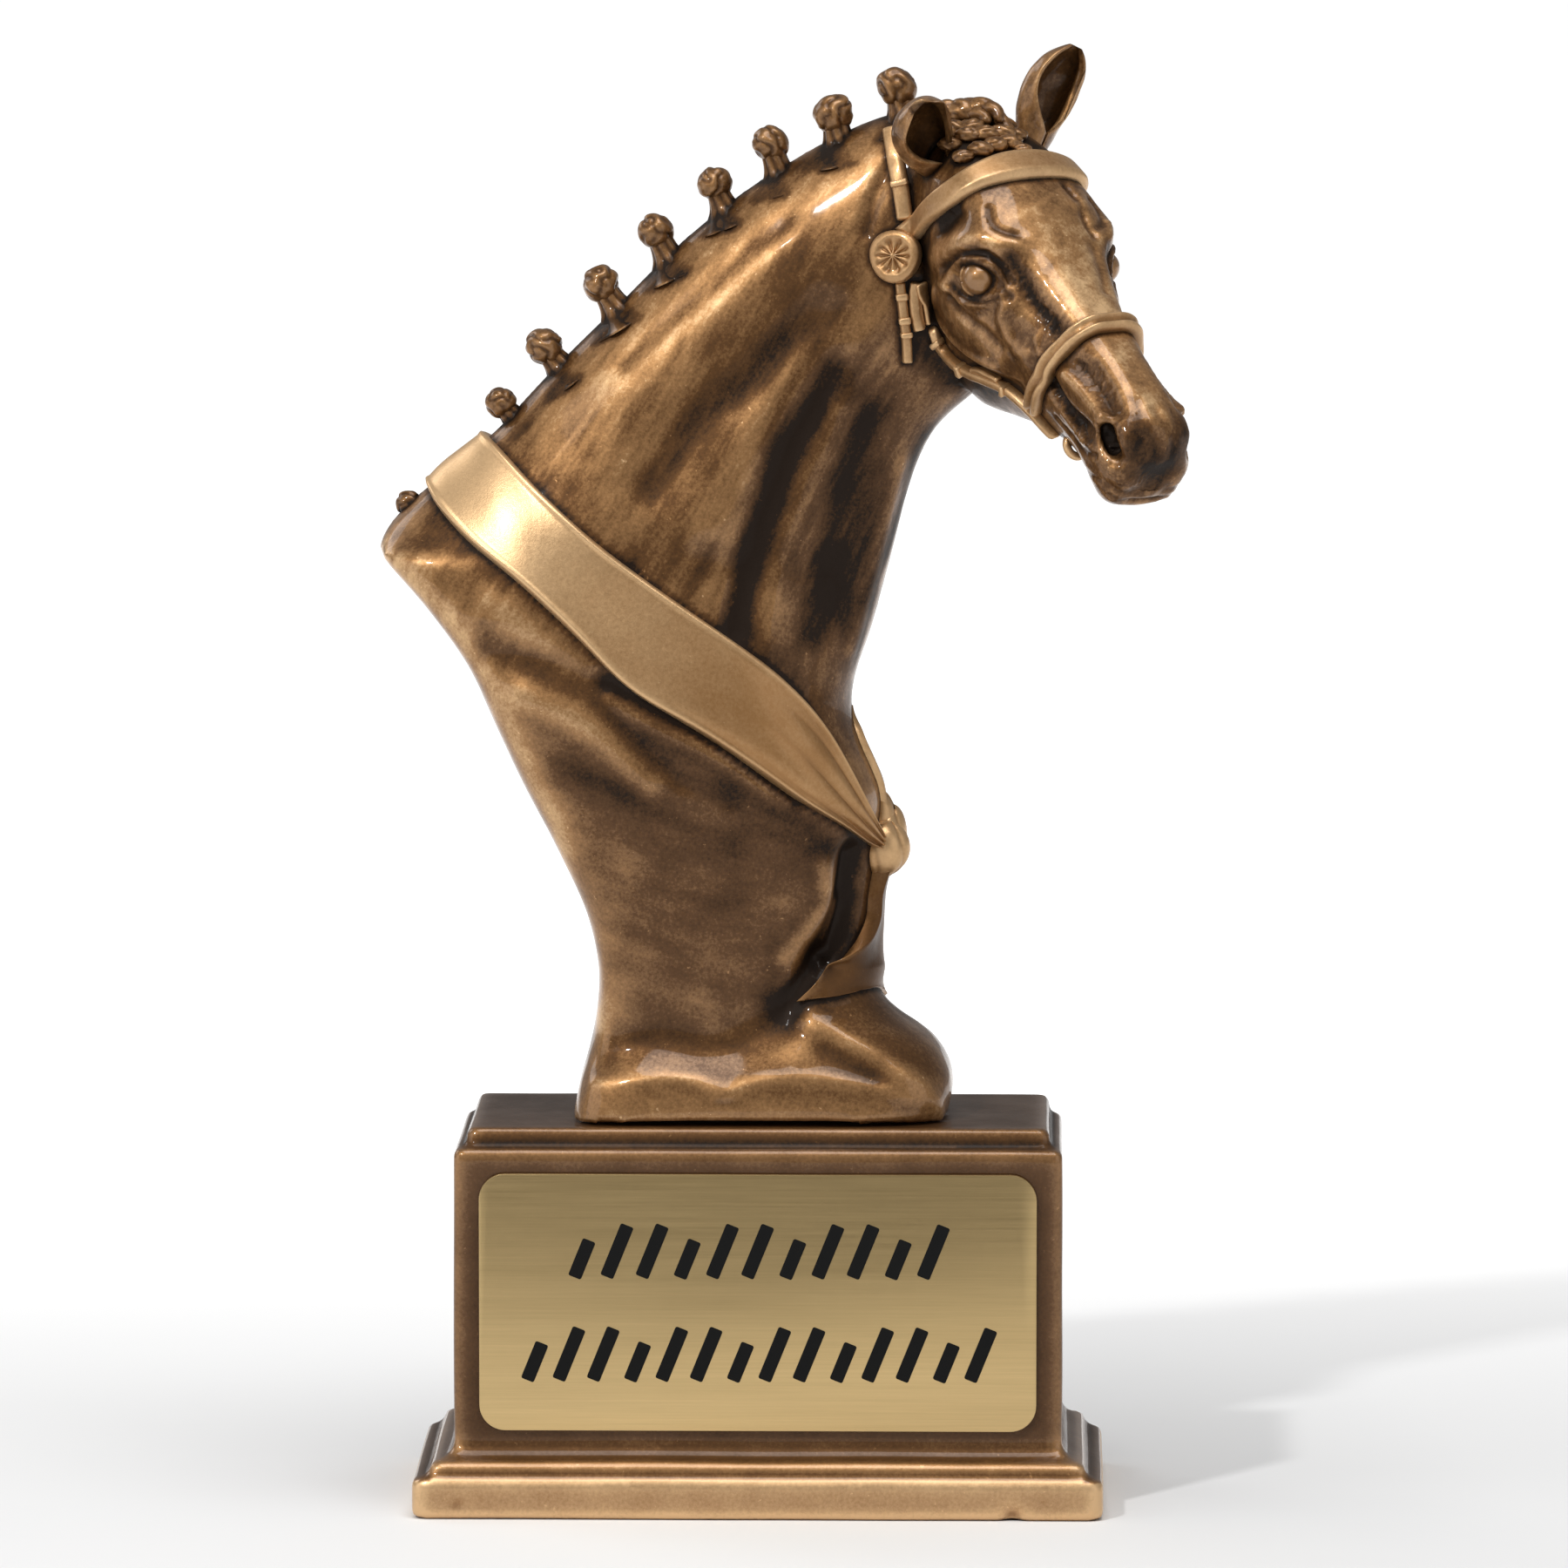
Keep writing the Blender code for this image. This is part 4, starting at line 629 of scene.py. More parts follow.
def points_of(obj):
    """places and normals of the mesh's vertices"""
    co = np.empty(3 * len(obj.data.vertices))
    obj.data.vertices.foreach_get("co", co)
    normals = np.array([n.vector for n in obj.data.vertex_normals])
    return co.reshape(-1, 3), normals


def move_points(obj, co):
    obj.data.vertices.foreach_set("co", co.ravel())
    obj.data.update()


def surface_of(*objects):
    """search tree over the meshes of the objects"""
    verts, polygons = [], []
    for obj in objects:
        base = len(verts)
        verts += [v.co for v in obj.data.vertices]
        polygons += [[base + k for k in p.vertices] for p in obj.data.polygons]
    return BVHTree.FromPolygons(verts, polygons)


def apply_modifier(obj, kind, **settings):
    """run one modifier and keep its result as the object's mesh"""
    modifier = obj.modifiers.new(kind.title(), kind)
    for key, value in settings.items():
        setattr(modifier, key, value)
    evaluated = obj.evaluated_get(bpy.context.evaluated_depsgraph_get())
    mesh = bpy.data.meshes.new_from_object(evaluated)
    obj.modifiers.remove(modifier)
    obj.data = mesh
    mesh.shade_smooth()


def shaped_grid(bm, across, along, shape):
    """closed shape from a grid whose vertices go to shape(u, v), with u and v from 0 to 1"""
    verts = bmesh.ops.create_grid(bm, x_segments=across, y_segments=along, size=0.5)["verts"]
    places = np.array([v.co for v in verts]) + 0.5
    for vert, point in zip(verts, shape(places[:, 0], places[:, 1])):
        vert.co = point
    gone = bmesh.ops.find_doubles(bm, verts=verts, dist=1e-7)["targetmap"]
    verts = [v for v in verts if v not in gone]
    bmesh.ops.weld_verts(bm, targetmap=gone)
    rim = list({e for v in verts for e in v.link_edges if e.is_boundary})
    if rim:
        bmesh.ops.holes_fill(bm, edges=rim, sides=0)
    faces = list({f for v in verts for f in v.link_faces})
    bmesh.ops.recalc_face_normals(bm, faces=faces)
    if sum(f.calc_area() * f.normal.dot(f.calc_center_median() - faces[0].verts[0].co) for f in faces) < 0:
        bmesh.ops.reverse_faces(bm, faces=faces)
    return verts


def swept(bm, line, ups, section, around=16):
    """tube along a line: section(angle, share) gives its offsets to the side and up"""
    line, ups = np.array(line), unit_rows(np.array(ups))
    runs = unit_rows(np.gradient(line, axis=0))
    sides = unit_rows(np.cross(ups, runs))
    ups = np.cross(runs, sides)
    last = len(line) - 1

    def shape(u, v):
        i = np.rint(v * last).astype(int)
        side, up = section(2 * math.pi * u, v)
        return line[i] + sides[i] * side[:, None] + ups[i] * up[:, None]

    return shaped_grid(bm, around, last, shape)


def flattened(angle, half, thick, depth, square=0.55):
    """cross-section of a strap: flat with round edges, thick above its line and depth below"""
    c, s = np.cos(angle), np.sin(angle)
    side = half * np.sign(c) * np.abs(c) ** square
    return side, np.where(s > 0, thick, depth) * np.sign(s) * np.abs(s) ** square


def ends_rounded(share, length):
    """1 along a piece and less where it rounds off over length at its two ends"""
    x = np.clip(np.minimum(share, 1 - share) / length, 0.02, 1)
    return np.sqrt(1 - (1 - x) ** 2)


def stroked(co, strokes):
    """sum over soft strokes of (width, height, points) at each place"""
    total = np.zeros(len(co))
    for width, height, points in strokes:
        line = smooth_line(points, 4 * len(points)) if len(points) > 1 else np.array(points * 2)
        inside = ((co > line.min(0) - 4 * width) & (co < line.max(0) + 4 * width)).all(1)
        near = np.where(inside)[0]
        best = np.full(len(near), 1.0)
        for a, b in zip(line, line[1:]):
            run = b - a
            t = np.clip((co[near] - a) @ run / max(run @ run, 1e-18), 0, 1)
            best = np.minimum(best, np.linalg.norm(co[near] - a - t[:, None] * run, axis=1))
        total[near] += height * np.exp(-0.5 * (best / width) ** 2)
    return total


def strokes_on(surface, table, mirrored, far=1.0):
    """strokes of a table dropped on the surface, with the far side's own at a share of the height"""
    strokes = []
    for name, (width, height, marks) in table.items():
        near = drop_all(surface, marks)
        strokes.append((width * UNIT, height, near))
        if far and not name.startswith("far_"):
            strokes.append((width * UNIT, height * far, [mirrored(p) for p in near]))
    return strokes


def press(obj, strokes, scale=1.0):
    """move the surface along its normals by soft strokes"""
    co, normals = points_of(obj)
    move_points(obj, co + normals * (stroked(co, strokes) * scale)[:, None])


def loft(bm, rings):
    """closed tube through rings of equally many points"""
    rings = np.array(rings)
    count = rings.shape[1]

    def shape(u, v):
        around = np.rint(u * count).astype(int) % count
        return rings[np.rint(v * (len(rings) - 1)).astype(int), around]

    shaped_grid(bm, count, len(rings) - 1, shape)


def trunk_ring(row, sides=40):
    """one closed ring of the trunk"""
    back_x, back_z, front_x, front_z, half, widest, back_square, front_square = row
    back, front = np.array([back_x, 0, back_z]), np.array([front_x, 0, front_z])
    middle = back + (front - back) * widest
    ring = []
    for k in range(sides):
        angle = 2 * math.pi * k / sides
        c, s = math.cos(angle), math.sin(angle)
        end, square = (front, front_square) if c > 0 else (back, back_square)
        point = middle + (end - middle) * abs(c) ** (2 / square)
        point = point - np.array([0, math.copysign(abs(s) ** (2 / square), s) * half, 0])
        ring.append(SEAT + point * NOMINAL_HEIGHT / 100 * UNIT)
    return ring


def head_ring(row, sides=40):
    """one closed ring of the head"""
    u, top, under, wide_top, wide_mid, wide_low, mid, low = row
    shoulder = top - 0.22 * wide_top
    corners = [(0, top), (wide_top, shoulder), (wide_mid, mid), (wide_low, low), (0, under),
               (-wide_low, low), (-wide_mid, mid), (-wide_top, shoulder)]
    closed = np.array(corners[-1:] + corners + corners[:2])
    count = len(corners)
    return [head_point(u, *catmull(closed, 1 + count * k / sides)) for k in range(sides)]


def between_rows(rows, ring, steps=3):
    """rings through the rows of a table, with more of them in between"""
    count = (len(rows) - 1) * steps
    return [ring(catmull(rows, i / steps)) for i in range(count + 1)]


def finer_where(obj, chosen):
    """split the faces once where chosen(face centres) is true"""
    bm = bmesh.new()
    bm.from_mesh(obj.data)
    centres = np.array([f.calc_center_median() for f in bm.faces])
    picked = chosen(centres)
    edges = {e for f, pick in zip(bm.faces, picked) if pick for e in f.edges}
    bmesh.ops.subdivide_edges(bm, edges=list(edges), cuts=1, use_grid_fill=True, smooth=0.0)
    bm.to_mesh(obj.data)
    bm.free()
    obj.data.shade_smooth()


def roughened(obj, strokes, size):
    """push grains of that size into the surface along soft strokes"""
    co, normals = points_of(obj)
    mask = stroked(co, strokes)
    for i in np.where(mask > 0.01)[0]:
        grain = noise.noise(Vector(co[i]) / (size * UNIT))
        co[i] += normals[i] * mask[i] * UNIT * grain
    move_points(obj, co)


def cut_flat(obj, height):
    """cut the object off flat below a height and close the cut"""
    bm = bmesh.new()
    bm.from_mesh(obj.data)
    everything = bm.verts[:] + bm.edges[:] + bm.faces[:]
    level = {"plane_co": (0, 0, height), "plane_no": (0, 0, 1)}
    cut = bmesh.ops.bisect_plane(bm, geom=everything, clear_inner=True, **level)
    rim = [e for e in cut["geom_cut"] if isinstance(e, bmesh.types.BMEdge)]
    bmesh.ops.triangle_fill(bm, edges=rim, use_beauty=True)
    bmesh.ops.recalc_face_normals(bm, faces=bm.faces)
    bm.to_mesh(obj.data)
    bm.free()
    obj.data.shade_smooth()


def make_skin(sizes):
    """head, neck, chest and rock as one surface"""
    bm = bmesh.new()
    loft(bm, between_rows(TRUNK_RINGS, trunk_ring))
    loft(bm, between_rows(HEAD_RINGS, head_ring))
    skin = object_from(bm, "bust_skin")
    apply_modifier(skin, "REMESH", mode="VOXEL", voxel_size=sizes.skin_mesh)
    apply_modifier(skin, "SMOOTH", factor=0.5, iterations=6)
    surface = surface_of(skin)
    broad = strokes_on(surface, HEAD_FORMS, mirrored_on_head)
    broad += strokes_on(surface, TRUNK_FORMS, mirrored_on_trunk)
    press(skin, broad, UNIT)
    cut_flat(skin, SEAT[2] + SEAT_GAP * UNIT)

    def face(centres):
        u, _, w = on_head(centres).T
        return (u > -0.02) & (w > -0.52) & (u + w > -0.3)

    def features(centres):
        spots = [drop(surface, mark)[0] for mark in (EYEBALL_MARK, NOSTRIL_MARK, LIP_MARK)]
        spots += [mirrored_on_head(spot) for spot in spots[:2]]
        away = np.array([np.linalg.norm(centres - spot, axis=1) for spot in spots])
        return (away < np.array(FINEST_REACH)[:, None] * UNIT).any(0)

    finer_where(skin, face)
    finer_where(skin, features)
    apply_modifier(skin, "SMOOTH", factor=0.5, iterations=2)
    press(skin, strokes_on(surface_of(skin), HEAD_DETAILS, mirrored_on_head, FAR_DETAILS), UNIT)
    roughened(skin, strokes_on(surface_of(skin), HEAD_GRAINS, mirrored_on_head, FAR_GRAINS), GRAIN_SIZE)
    return skin


def make_eyes(surface):
    """eyeballs, and lids that lie over them"""
    spot, normal = drop(surface, EYEBALL_MARK)
    centre, radius = spot - normal * EYEBALL_SUNK * UNIT, EYEBALL_RADIUS * UNIT
    bm = bmesh.new()
    ball = bmesh.ops.create_uvsphere(bm, u_segments=48, v_segments=32, radius=radius)["verts"]
    bmesh.ops.transform(bm, matrix=Matrix.Translation(centre) @ facing(normal), verts=ball)
    mirror_piece(bm)
    eyes = object_from(bm, "eyes")

    bm = bmesh.new()
    ball_surface = surface_of(eyes)
    for thick, marks in LIDS.values():
        line = smooth_line([drop(ball_surface, m)[0] for m in marks], 40)
        out = unit_rows(line - centre)
        skin_at, _ = nearest(surface, line)
        reach = np.linalg.norm(skin_at - centre, axis=1) * LID_REACH
        line = centre + out * np.maximum(reach, radius * LID_CLEARANCE)[:, None]

        def section(angle, share):
            wide = thick * UNIT * (0.45 + 0.55 * np.sin(math.pi * share) ** 0.6)
            return 1.2 * wide * np.cos(angle), wide * np.sin(angle)

        swept(bm, line, out, section, around=12)
    mirror_piece(bm)
    return [eyes, object_from(bm, "eyelids")]


def mirror_piece(bm):
    """add the other side of the head's pieces"""
    copied = bmesh.ops.duplicate(bm, geom=bm.verts[:] + bm.edges[:] + bm.faces[:])["geom"]
    for item in copied:
        if isinstance(item, bmesh.types.BMVert):
            item.co = mirrored_on_head(np.array(item.co))
    bmesh.ops.reverse_faces(bm, faces=[f for f in copied if isinstance(f, bmesh.types.BMFace)])


def make_ear(name, base, tip, opening, half):
    """leaf rolled into a cup, with a rounded rim along its opening"""
    axis = unit_rows(tip - base)
    front = unit_rows(np.array(opening) - axis * np.dot(opening, axis))
    side = np.cross(axis, front)
    length = np.linalg.norm(tip - base)

    def shape(u, t):
        wide = half * UNIT * np.maximum(0.03, 0.46 + 1.55 * t - 1.40 * t ** 2 - 0.40 * t ** 9)
        closed = 1 - np.clip(1.8 * (t - 0.20), 0, 1)
        gap = np.radians(EAR_GAP_CLOSED + EAR_GAP_OPENS * (1 - closed ** 2))
        share = 1 - np.abs(1 - 2 * u)
        thick = np.minimum(EAR_WALL * UNIT, wide * 0.5) * ends_rounded(share, 0.06)
        angle = gap + (2 * math.pi - 2 * gap) * share
        inner = u > 0.5
        reach = wide - np.where(inner, thick, 0)
        lip = 0.10 * wide * np.exp(-((np.minimum(share, 1 - share) / 0.07) ** 2))
        reach = reach + np.where(inner, 0, lip)
        bend = front * (EAR_BEND * length * np.sin(math.pi * t))[:, None]
        middle = base + (tip - base) * t[:, None] - bend
        spread = front * (np.cos(angle) * 0.75 * reach)[:, None] + side * (np.sin(angle) * reach)[:, None]
        return middle + spread

    bm = bmesh.new()
    shaped_grid(bm, 96, 40, shape)
    ear = object_from(bm, name)
    co, normals = points_of(ear)
    ridges = np.array([noise.noise(Vector(p) / (1.6 * UNIT)) for p in co])
    move_points(ear, co + normals * (ridges * 0.06 * UNIT)[:, None])
    return ear


def strap_frame(surface, points, count):
    """places along a strap on the surface, with smoothed normals"""
    spots, normals = nearest(surface, smooth_line(points, count))
    for _ in range(4):
        normals[1:-1] += normals[:-2] + normals[2:]
        normals = unit_rows(normals)
    for _ in range(2):
        spots[1:-1] = (spots[:-2] + 2 * spots[1:-1] + spots[2:]) / 4
    return spots, normals


def make_strap(surface, name, width, thick, marks, count=70, cords=1, far=False):
    """strap along marks, flat or moulded as two cords side by side"""
    points = drop_all(surface, marks)
    if far:
        points = [mirrored_on_head(p) for p in points]
    spots, normals = strap_frame(surface, over_head(points) if cords == 2 else points, cords * count)
    half = width * UNIT / 2

    def section(angle, share):
        side, up = flattened(angle, half, thick * UNIT, STRAP_DEPTH * UNIT)
        if cords == 2:
            away = (np.abs(side) / half - 0.52) / 0.5
            hump = np.sqrt(np.clip(1 - away ** 2, 0.04, 1))
            moulded = thick * UNIT * (0.3 + 0.7 * hump)
            up = np.where(up > 0, moulded * np.minimum(1, up / (0.4 * thick * UNIT)), up)
        ends = ends_rounded(share, 0.035)
        return side * (0.5 + 0.5 * ends), np.where(up > 0, up * ends, up)

    bm = bmesh.new()
    swept(bm, spots, normals, section, around=32)
    return object_from(bm, name)


def over_head(points):
    """points of the head's near side, followed by their mirror images back down the far side"""
    near = [p for p in points if on_head(p)[1] > 0.01]
    return near + [mirrored_on_head(p) for p in near[::-1]]


def make_keepers(surface):
    """small loops that hold the straps' ends, each across its strap"""
    bm = bmesh.new()
    for strap, keepers in KEEPERS.items():
        _, thick, marks = STRAPS[strap]
        line, ups = strap_frame(surface, drop_all(surface, marks), 60)
        for mark, length, over in keepers:
            spot = drop(surface, mark)[0]
            i = int(np.clip(np.argmin(np.linalg.norm(line - spot, axis=1)), 1, len(line) - 2))
            run = unit_rows(line[i + 1] - line[i - 1])
            side = unit_rows(np.cross(ups[i], run))
            up = np.cross(run, side)
            frame_of = Matrix(np.array([side, run, np.cross(side, run)]).T.tolist()).to_4x4()
            place_at = Matrix.Translation(line[i] + up * 0.55 * thick * UNIT) @ frame_of
            size = Matrix.Diagonal((over * UNIT, length * UNIT, (thick + KEEPER_OVER) * UNIT, 1))
            box = bmesh.ops.create_cube(bm, size=1, matrix=place_at @ size)["verts"]
            round_edges(bm, list({e for v in box for e in v.link_edges}), KEEPER_ROUND * UNIT)
    return object_from(bm, "keepers")


def make_band(surface, name, edge_a, edge_b, count, across, height, depth, rounds=6):
    """closed band that hugs the surface between two edges: height(share across, share along)"""
    line_a, line_b = smooth_line(edge_a, count), smooth_line(edge_b, count)
    shares = np.linspace(0, 1, across + 1)
    flat = (line_a[:, None] * (1 - shares[:, None]) + line_b[:, None] * shares[:, None]).reshape(-1, 3)
    spots, normals = nearest(surface, flat)
    spots, normals = (a.reshape(count, across + 1, 3) for a in (spots, normals))
    for _ in range(rounds):
        soft = normals.copy()
        soft[1:-1] += normals[:-2] + normals[2:]
        soft[:, 1:-1] += soft[:, :-2] + soft[:, 2:]
        normals = unit_rows(soft)
        spots[1:-1] = (spots[:-2] + 2 * spots[1:-1] + spots[2:]) / 4
    along = np.linspace(0, 1, count)
    over = spots + normals * (height(shares[None, :], along[:, None]) * UNIT)[:, :, None]
    under = (spots - normals * depth * UNIT)[:, ::-(across // 6)]
    rings = np.concatenate([over, under], axis=1)
    bm = bmesh.new()
    loft(bm, rings)
    return object_from(bm, name)


def make_rosette(surface, name="rosette", far=False):
    """thick disc with a raised rim and petals pressed round its middle"""
    spot, normal = drop(surface, ROSETTE_MARK)
    if far:
        (spot,), (normal,) = nearest(surface, np.array([mirrored_on_head(spot)]))
    else:
        normal = unit_rows(normal + ROSETTE_LEAN)
    radius = ROSETTE_SWELL * ROSETTE_RADIUS * UNIT

    def shape(u, v):
        angle, out = 2 * math.pi * u, np.sin(math.pi * v)
        petals = np.abs(np.sin(ROSETTE_PETALS / 2 * angle + 0.5 * np.sin(2 * angle)))
        rim = out ** 0.7 * (1 + 0.03 * np.sin(3 * angle))
        side = 0.36 * np.sign(0.5 - v) * np.abs(np.cos(math.pi * v)) ** 0.35
        middle = smooth_between(0.78, 0.5, rim)
        grooves = (petals - 1) * smooth_between(0.0, 0.15, rim)
        relief = 0.13 * middle * grooves - 0.08 * middle + 0.09 * np.exp(-((rim / 0.16) ** 2))
        height = side + np.where(v < 0.5, relief, 0)
        return np.stack([rim * np.cos(angle), rim * np.sin(angle), height], 1) * radius

    bm = bmesh.new()
    shaped_grid(bm, 84, 48, shape)
    place_at = Matrix.Translation(spot + normal * 0.9 * UNIT) @ facing(normal)
    bmesh.ops.transform(bm, matrix=place_at, verts=bm.verts)
    return object_from(bm, name)


def make_bit_ring():
    """ring of the bit at the corner of the mouth, spun from a small circle"""
    bm = bmesh.new()
    wire = bmesh.ops.create_circle(bm, segments=14, radius=BIT_WIRE * UNIT)["verts"]
    upright = Matrix.Translation((BIT_RADIUS * UNIT, 0, 0)) @ Matrix.Rotation(math.pi / 2, 4, "X")
    bmesh.ops.transform(bm, matrix=upright, verts=wire)
    bmesh.ops.spin(bm, geom=bm.edges[:], axis=(0, 0, 1), cent=(0, 0, 0), angle=2 * math.pi, steps=40,
                   use_merge=True)
    turn = Matrix.Rotation(BIT_SWING, 4, "Z") @ Matrix.Rotation(BIT_TILT, 4, "X")
    bmesh.ops.transform(bm, matrix=Matrix.Translation(place(BIT_MARK, BIT_Y)) @ turn, verts=bm.verts)
    bmesh.ops.recalc_face_normals(bm, faces=bm.faces)
    return object_from(bm, "bit_ring")


def make_bridle(surface):
    """straps, keepers, rosette and bit ring"""
    pieces = []
    for name, (width, thick, marks) in STRAPS.items():
        cords = 2 if name == "noseband" else 1
        pieces.append(make_strap(surface, name, width, thick, marks, cords=cords))
    for name in FAR_STRAPS:
        width, thick, marks = STRAPS[name]
        pieces.append(make_strap(surface, name + "_far", width, thick, marks, far=True))
    pieces.append(make_rosette(surface, "rosette_far", far=True))
    for name, (width, thick, marks) in SHORT_STRAPS.items():
        pieces.append(make_strap(surface, name, width, thick, marks, count=30))

    def height(across, along):
        edge = np.minimum(across, 1 - across)
        body = BROWBAND_THICK * (1 - (1 - np.clip(edge / 0.2, 0, 1)) ** 2 * 0.55)
        return body * ends_rounded(along, 0.03)

    edges = [over_head(drop_all(surface, marks)) for marks in (BROWBAND_UPPER, BROWBAND_LOWER)]
    pieces.append(make_band(surface, "browband", *edges, count=150, across=24, height=height,
                            depth=BROWBAND_DEPTH))
    return pieces + [make_keepers(surface), make_rosette(surface), make_bit_ring()]


def knotted(radius, radii, seed):
    """ball of wound hair: points on a unit ball go out by the folds of the plait"""
    def shape(u, v):
        _, way = on_ball(u, v)
        wander = np.array([noise.noise(Vector(w) * 1.3 + Vector((seed, 2 * seed, 0))) for w in way])
        hand = (-1) ** seed
        wound = np.sin(2.6 * way[:, 2] + 2.2 * way[:, 0] * hand + 2.5 * wander + seed)
        strand = np.abs(np.sin(3.2 * way[:, 1] + 2.4 * way[:, 2] * hand + 3 * wander + 1.7 * seed))
        folds = np.abs(wound) ** 0.6 * 0.15 + strand ** 0.7 * 0.03 - 0.10
        return way * np.array(radii) * (radius * (1 + folds + 0.08 * wander))[:, None]

    return shape


def make_plaits():
    """button plaits along the crest, each on its stalk of hair"""
    bm = bmesh.new()
    for seed, (mark, size, foot, y) in enumerate(PLAITS):
        centre, base, radius = place(mark, y), place(foot, y), size / 2 * UNIT
        button = shaped_grid(bm, 56, 36, knotted(radius * 0.94, (0.98, 0.9, 0.88), seed))
        lean = Matrix.Rotation(0.5 * (-1) ** seed, 4, "Y") @ Matrix.Rotation(0.3 * seed, 4, "Z")
        bmesh.ops.transform(bm, matrix=Matrix.Translation(centre) @ lean, verts=button)
        line = smooth_line([centre + (base - centre) * share for share in STALK_SHARES], 24)
        ups = np.tile(np.array([0.0, -1.0, 0.0]), (len(line), 1))

        def section(angle, share):
            wide = radius * (0.60 + 0.05 * share + 1.3 * share ** 3.2)
            strands = np.abs(np.sin(4 * angle + 2.2 * share + seed)) ** 0.6
            wide = wide * (0.86 + 0.16 * strands)
            return wide * np.cos(angle), wide * np.sin(angle)

        swept(bm, line, ups, section, around=48)
    return object_from(bm, "mane_plaits")


def make_forelock(surface):
    """locks and knots of hair between the ears"""
    bm = bmesh.new()
    for half, (y_start, y_end), marks in FORELOCK_LOCKS:
        ys = np.linspace(y_start, y_end, len(marks))
        line = smooth_line([place(m, y) for m, y in zip(marks, ys)], 40)
        ups = np.tile(np.array([0.2, -0.7, 0.7]), (len(line), 1))

        def section(angle, share):
            wide = half * UNIT * (0.55 + 0.45 * np.sin(math.pi * np.clip(share, 0.06, 0.94)))
            beads = 0.88 + 0.12 * np.abs(np.sin(3 * math.pi * share + 0.5 * angle))
            strands = 0.94 + 0.06 * np.abs(np.sin(2 * angle + 5 * share))
            wide = wide * beads * strands * ends_rounded(share, 0.12)
            return wide * np.cos(angle), wide * np.sin(angle)

        swept(bm, line, ups, section, around=32)
    for seed, (mark, radius) in enumerate(HAIR_LUMPS):
        spot, normal = drop(surface, mark)
        knot = shaped_grid(bm, 36, 24, knotted(radius * UNIT, (1.25, 0.9, 0.8), seed))
        bmesh.ops.translate(bm, vec=spot + normal * 0.25 * radius * UNIT, verts=knot)
    for seed, (mark, radius, y) in enumerate(FORELOCK):
        knot = shaped_grid(bm, 36, 24, knotted(radius * UNIT, (1.0, 0.9, 0.85), seed))
        bmesh.ops.translate(bm, vec=place(mark, y), verts=knot)
    return object_from(bm, "forelock")


def sash_height(across, along):
    """thickness of the sash: rolled hems, soft waves, and folds that gather at the knot"""
    edge = np.minimum(across, 1 - across)
    side = np.abs(2 * along - 1)
    gather = smooth_between(0.62, 1.0, side)
    round_off = np.sqrt(np.clip(1 - (1 - np.clip(edge / 0.05, 0, 1)) ** 2, 0, 1))
    hem = 0.22 * np.exp(-(((edge - 0.045) / 0.035) ** 2))
    wave = 0.10 * np.sin(9 * side + 4 * across) + 0.08 * np.sin(23 * side - 7 * across + 1)
    folds = gather * (0.5 * np.abs(np.sin(math.pi * (3.2 * across + 0.4 * side))) ** 0.7 - 0.15)
    crown = 0.35 * (1 - (2 * across - 1) ** 2)
    return (SASH_THICK * 0.78 + hem + wave * round_off + folds + crown) * (0.25 + 0.75 * round_off)


def make_sash(surface):
    """sash over the withers and both shoulders, its knot at the breast and its hanging tail"""
    near_up, near_low = drop_all(surface, SASH_UPPER), drop_all(surface, SASH_LOWER)
    near_up[0], near_low[0] = place(SASH_UPPER[0], 0), place(SASH_LOWER[0], 0)
    far_up = [mirrored_on_trunk(p) for p in near_up[:0:-1]]
    far_low = [mirrored_on_trunk(p) for p in near_low[:0:-1]]
    sash = make_band(surface, "sash", far_up + near_up, far_low + near_low, count=260, across=48,
                     height=sash_height, depth=SASH_DEPTH, rounds=30)

    def tail_height(across, along):
        rim = 0.5 * np.exp(-((across / 0.10) ** 2)) + 0.35 * np.exp(-(((1 - across) / 0.12) ** 2))
        pleats = 0.35 * np.sin(3.2 * math.pi * across + 2 * along) * smooth_between(0.1, 0.5, along)
        pinch = 0.5 * np.exp(-((along / 0.12) ** 2))
        return (TAIL_THICK + rim + pleats * 0.6 + pinch) * (1 - 0.65 * smooth_between(0.75, 1.0, along))

    def strip_height(across, along):
        roll = 0.55 + 0.3 * np.cos(2 * math.pi * (across + 0.1))
        return roll * (0.2 + 0.8 * smooth_between(0, 0.3, along))

    inner = [place(mark, y) for mark, y in zip(FAR_STRIP_INNER, FAR_STRIP_INNER_Y)]
    outer = [place(mark, y) for mark, y in zip(FAR_STRIP_OUTER, FAR_STRIP_OUTER_Y)]
    strip = make_band(surface, "sash_far", inner, outer, count=60, across=24, height=strip_height,
                      depth=SASH_DEPTH)
    tail_near, tail_far = drop_all(surface, TAIL_NEAR), [place(mark, TAIL_Y) for mark in TAIL_FAR]
    tail = make_band(surface, "sash_tail", tail_near, tail_far, count=90, across=36,
                     height=tail_height, depth=TAIL_DEPTH)

    bm = bmesh.new()
    for mark, y, radii, lean, seed in KNOT_LUMPS:
        def shape(u, v):
            turn, way = on_ball(u, v)
            folds = 0.10 * np.abs(np.sin(2.2 * turn + 1.3 * way[:, 2] + seed)) ** 0.6
            return way * np.array(radii) * UNIT * (0.95 + folds)[:, None]

        lump = shaped_grid(bm, 64, 40, shape)
        tilt = Matrix.Translation(place(mark, y)) @ Matrix.Rotation(lean, 4, "Y")
        bmesh.ops.transform(bm, matrix=tilt, verts=lump)
    return [sash, strip, tail, object_from(bm, "sash_knot")]


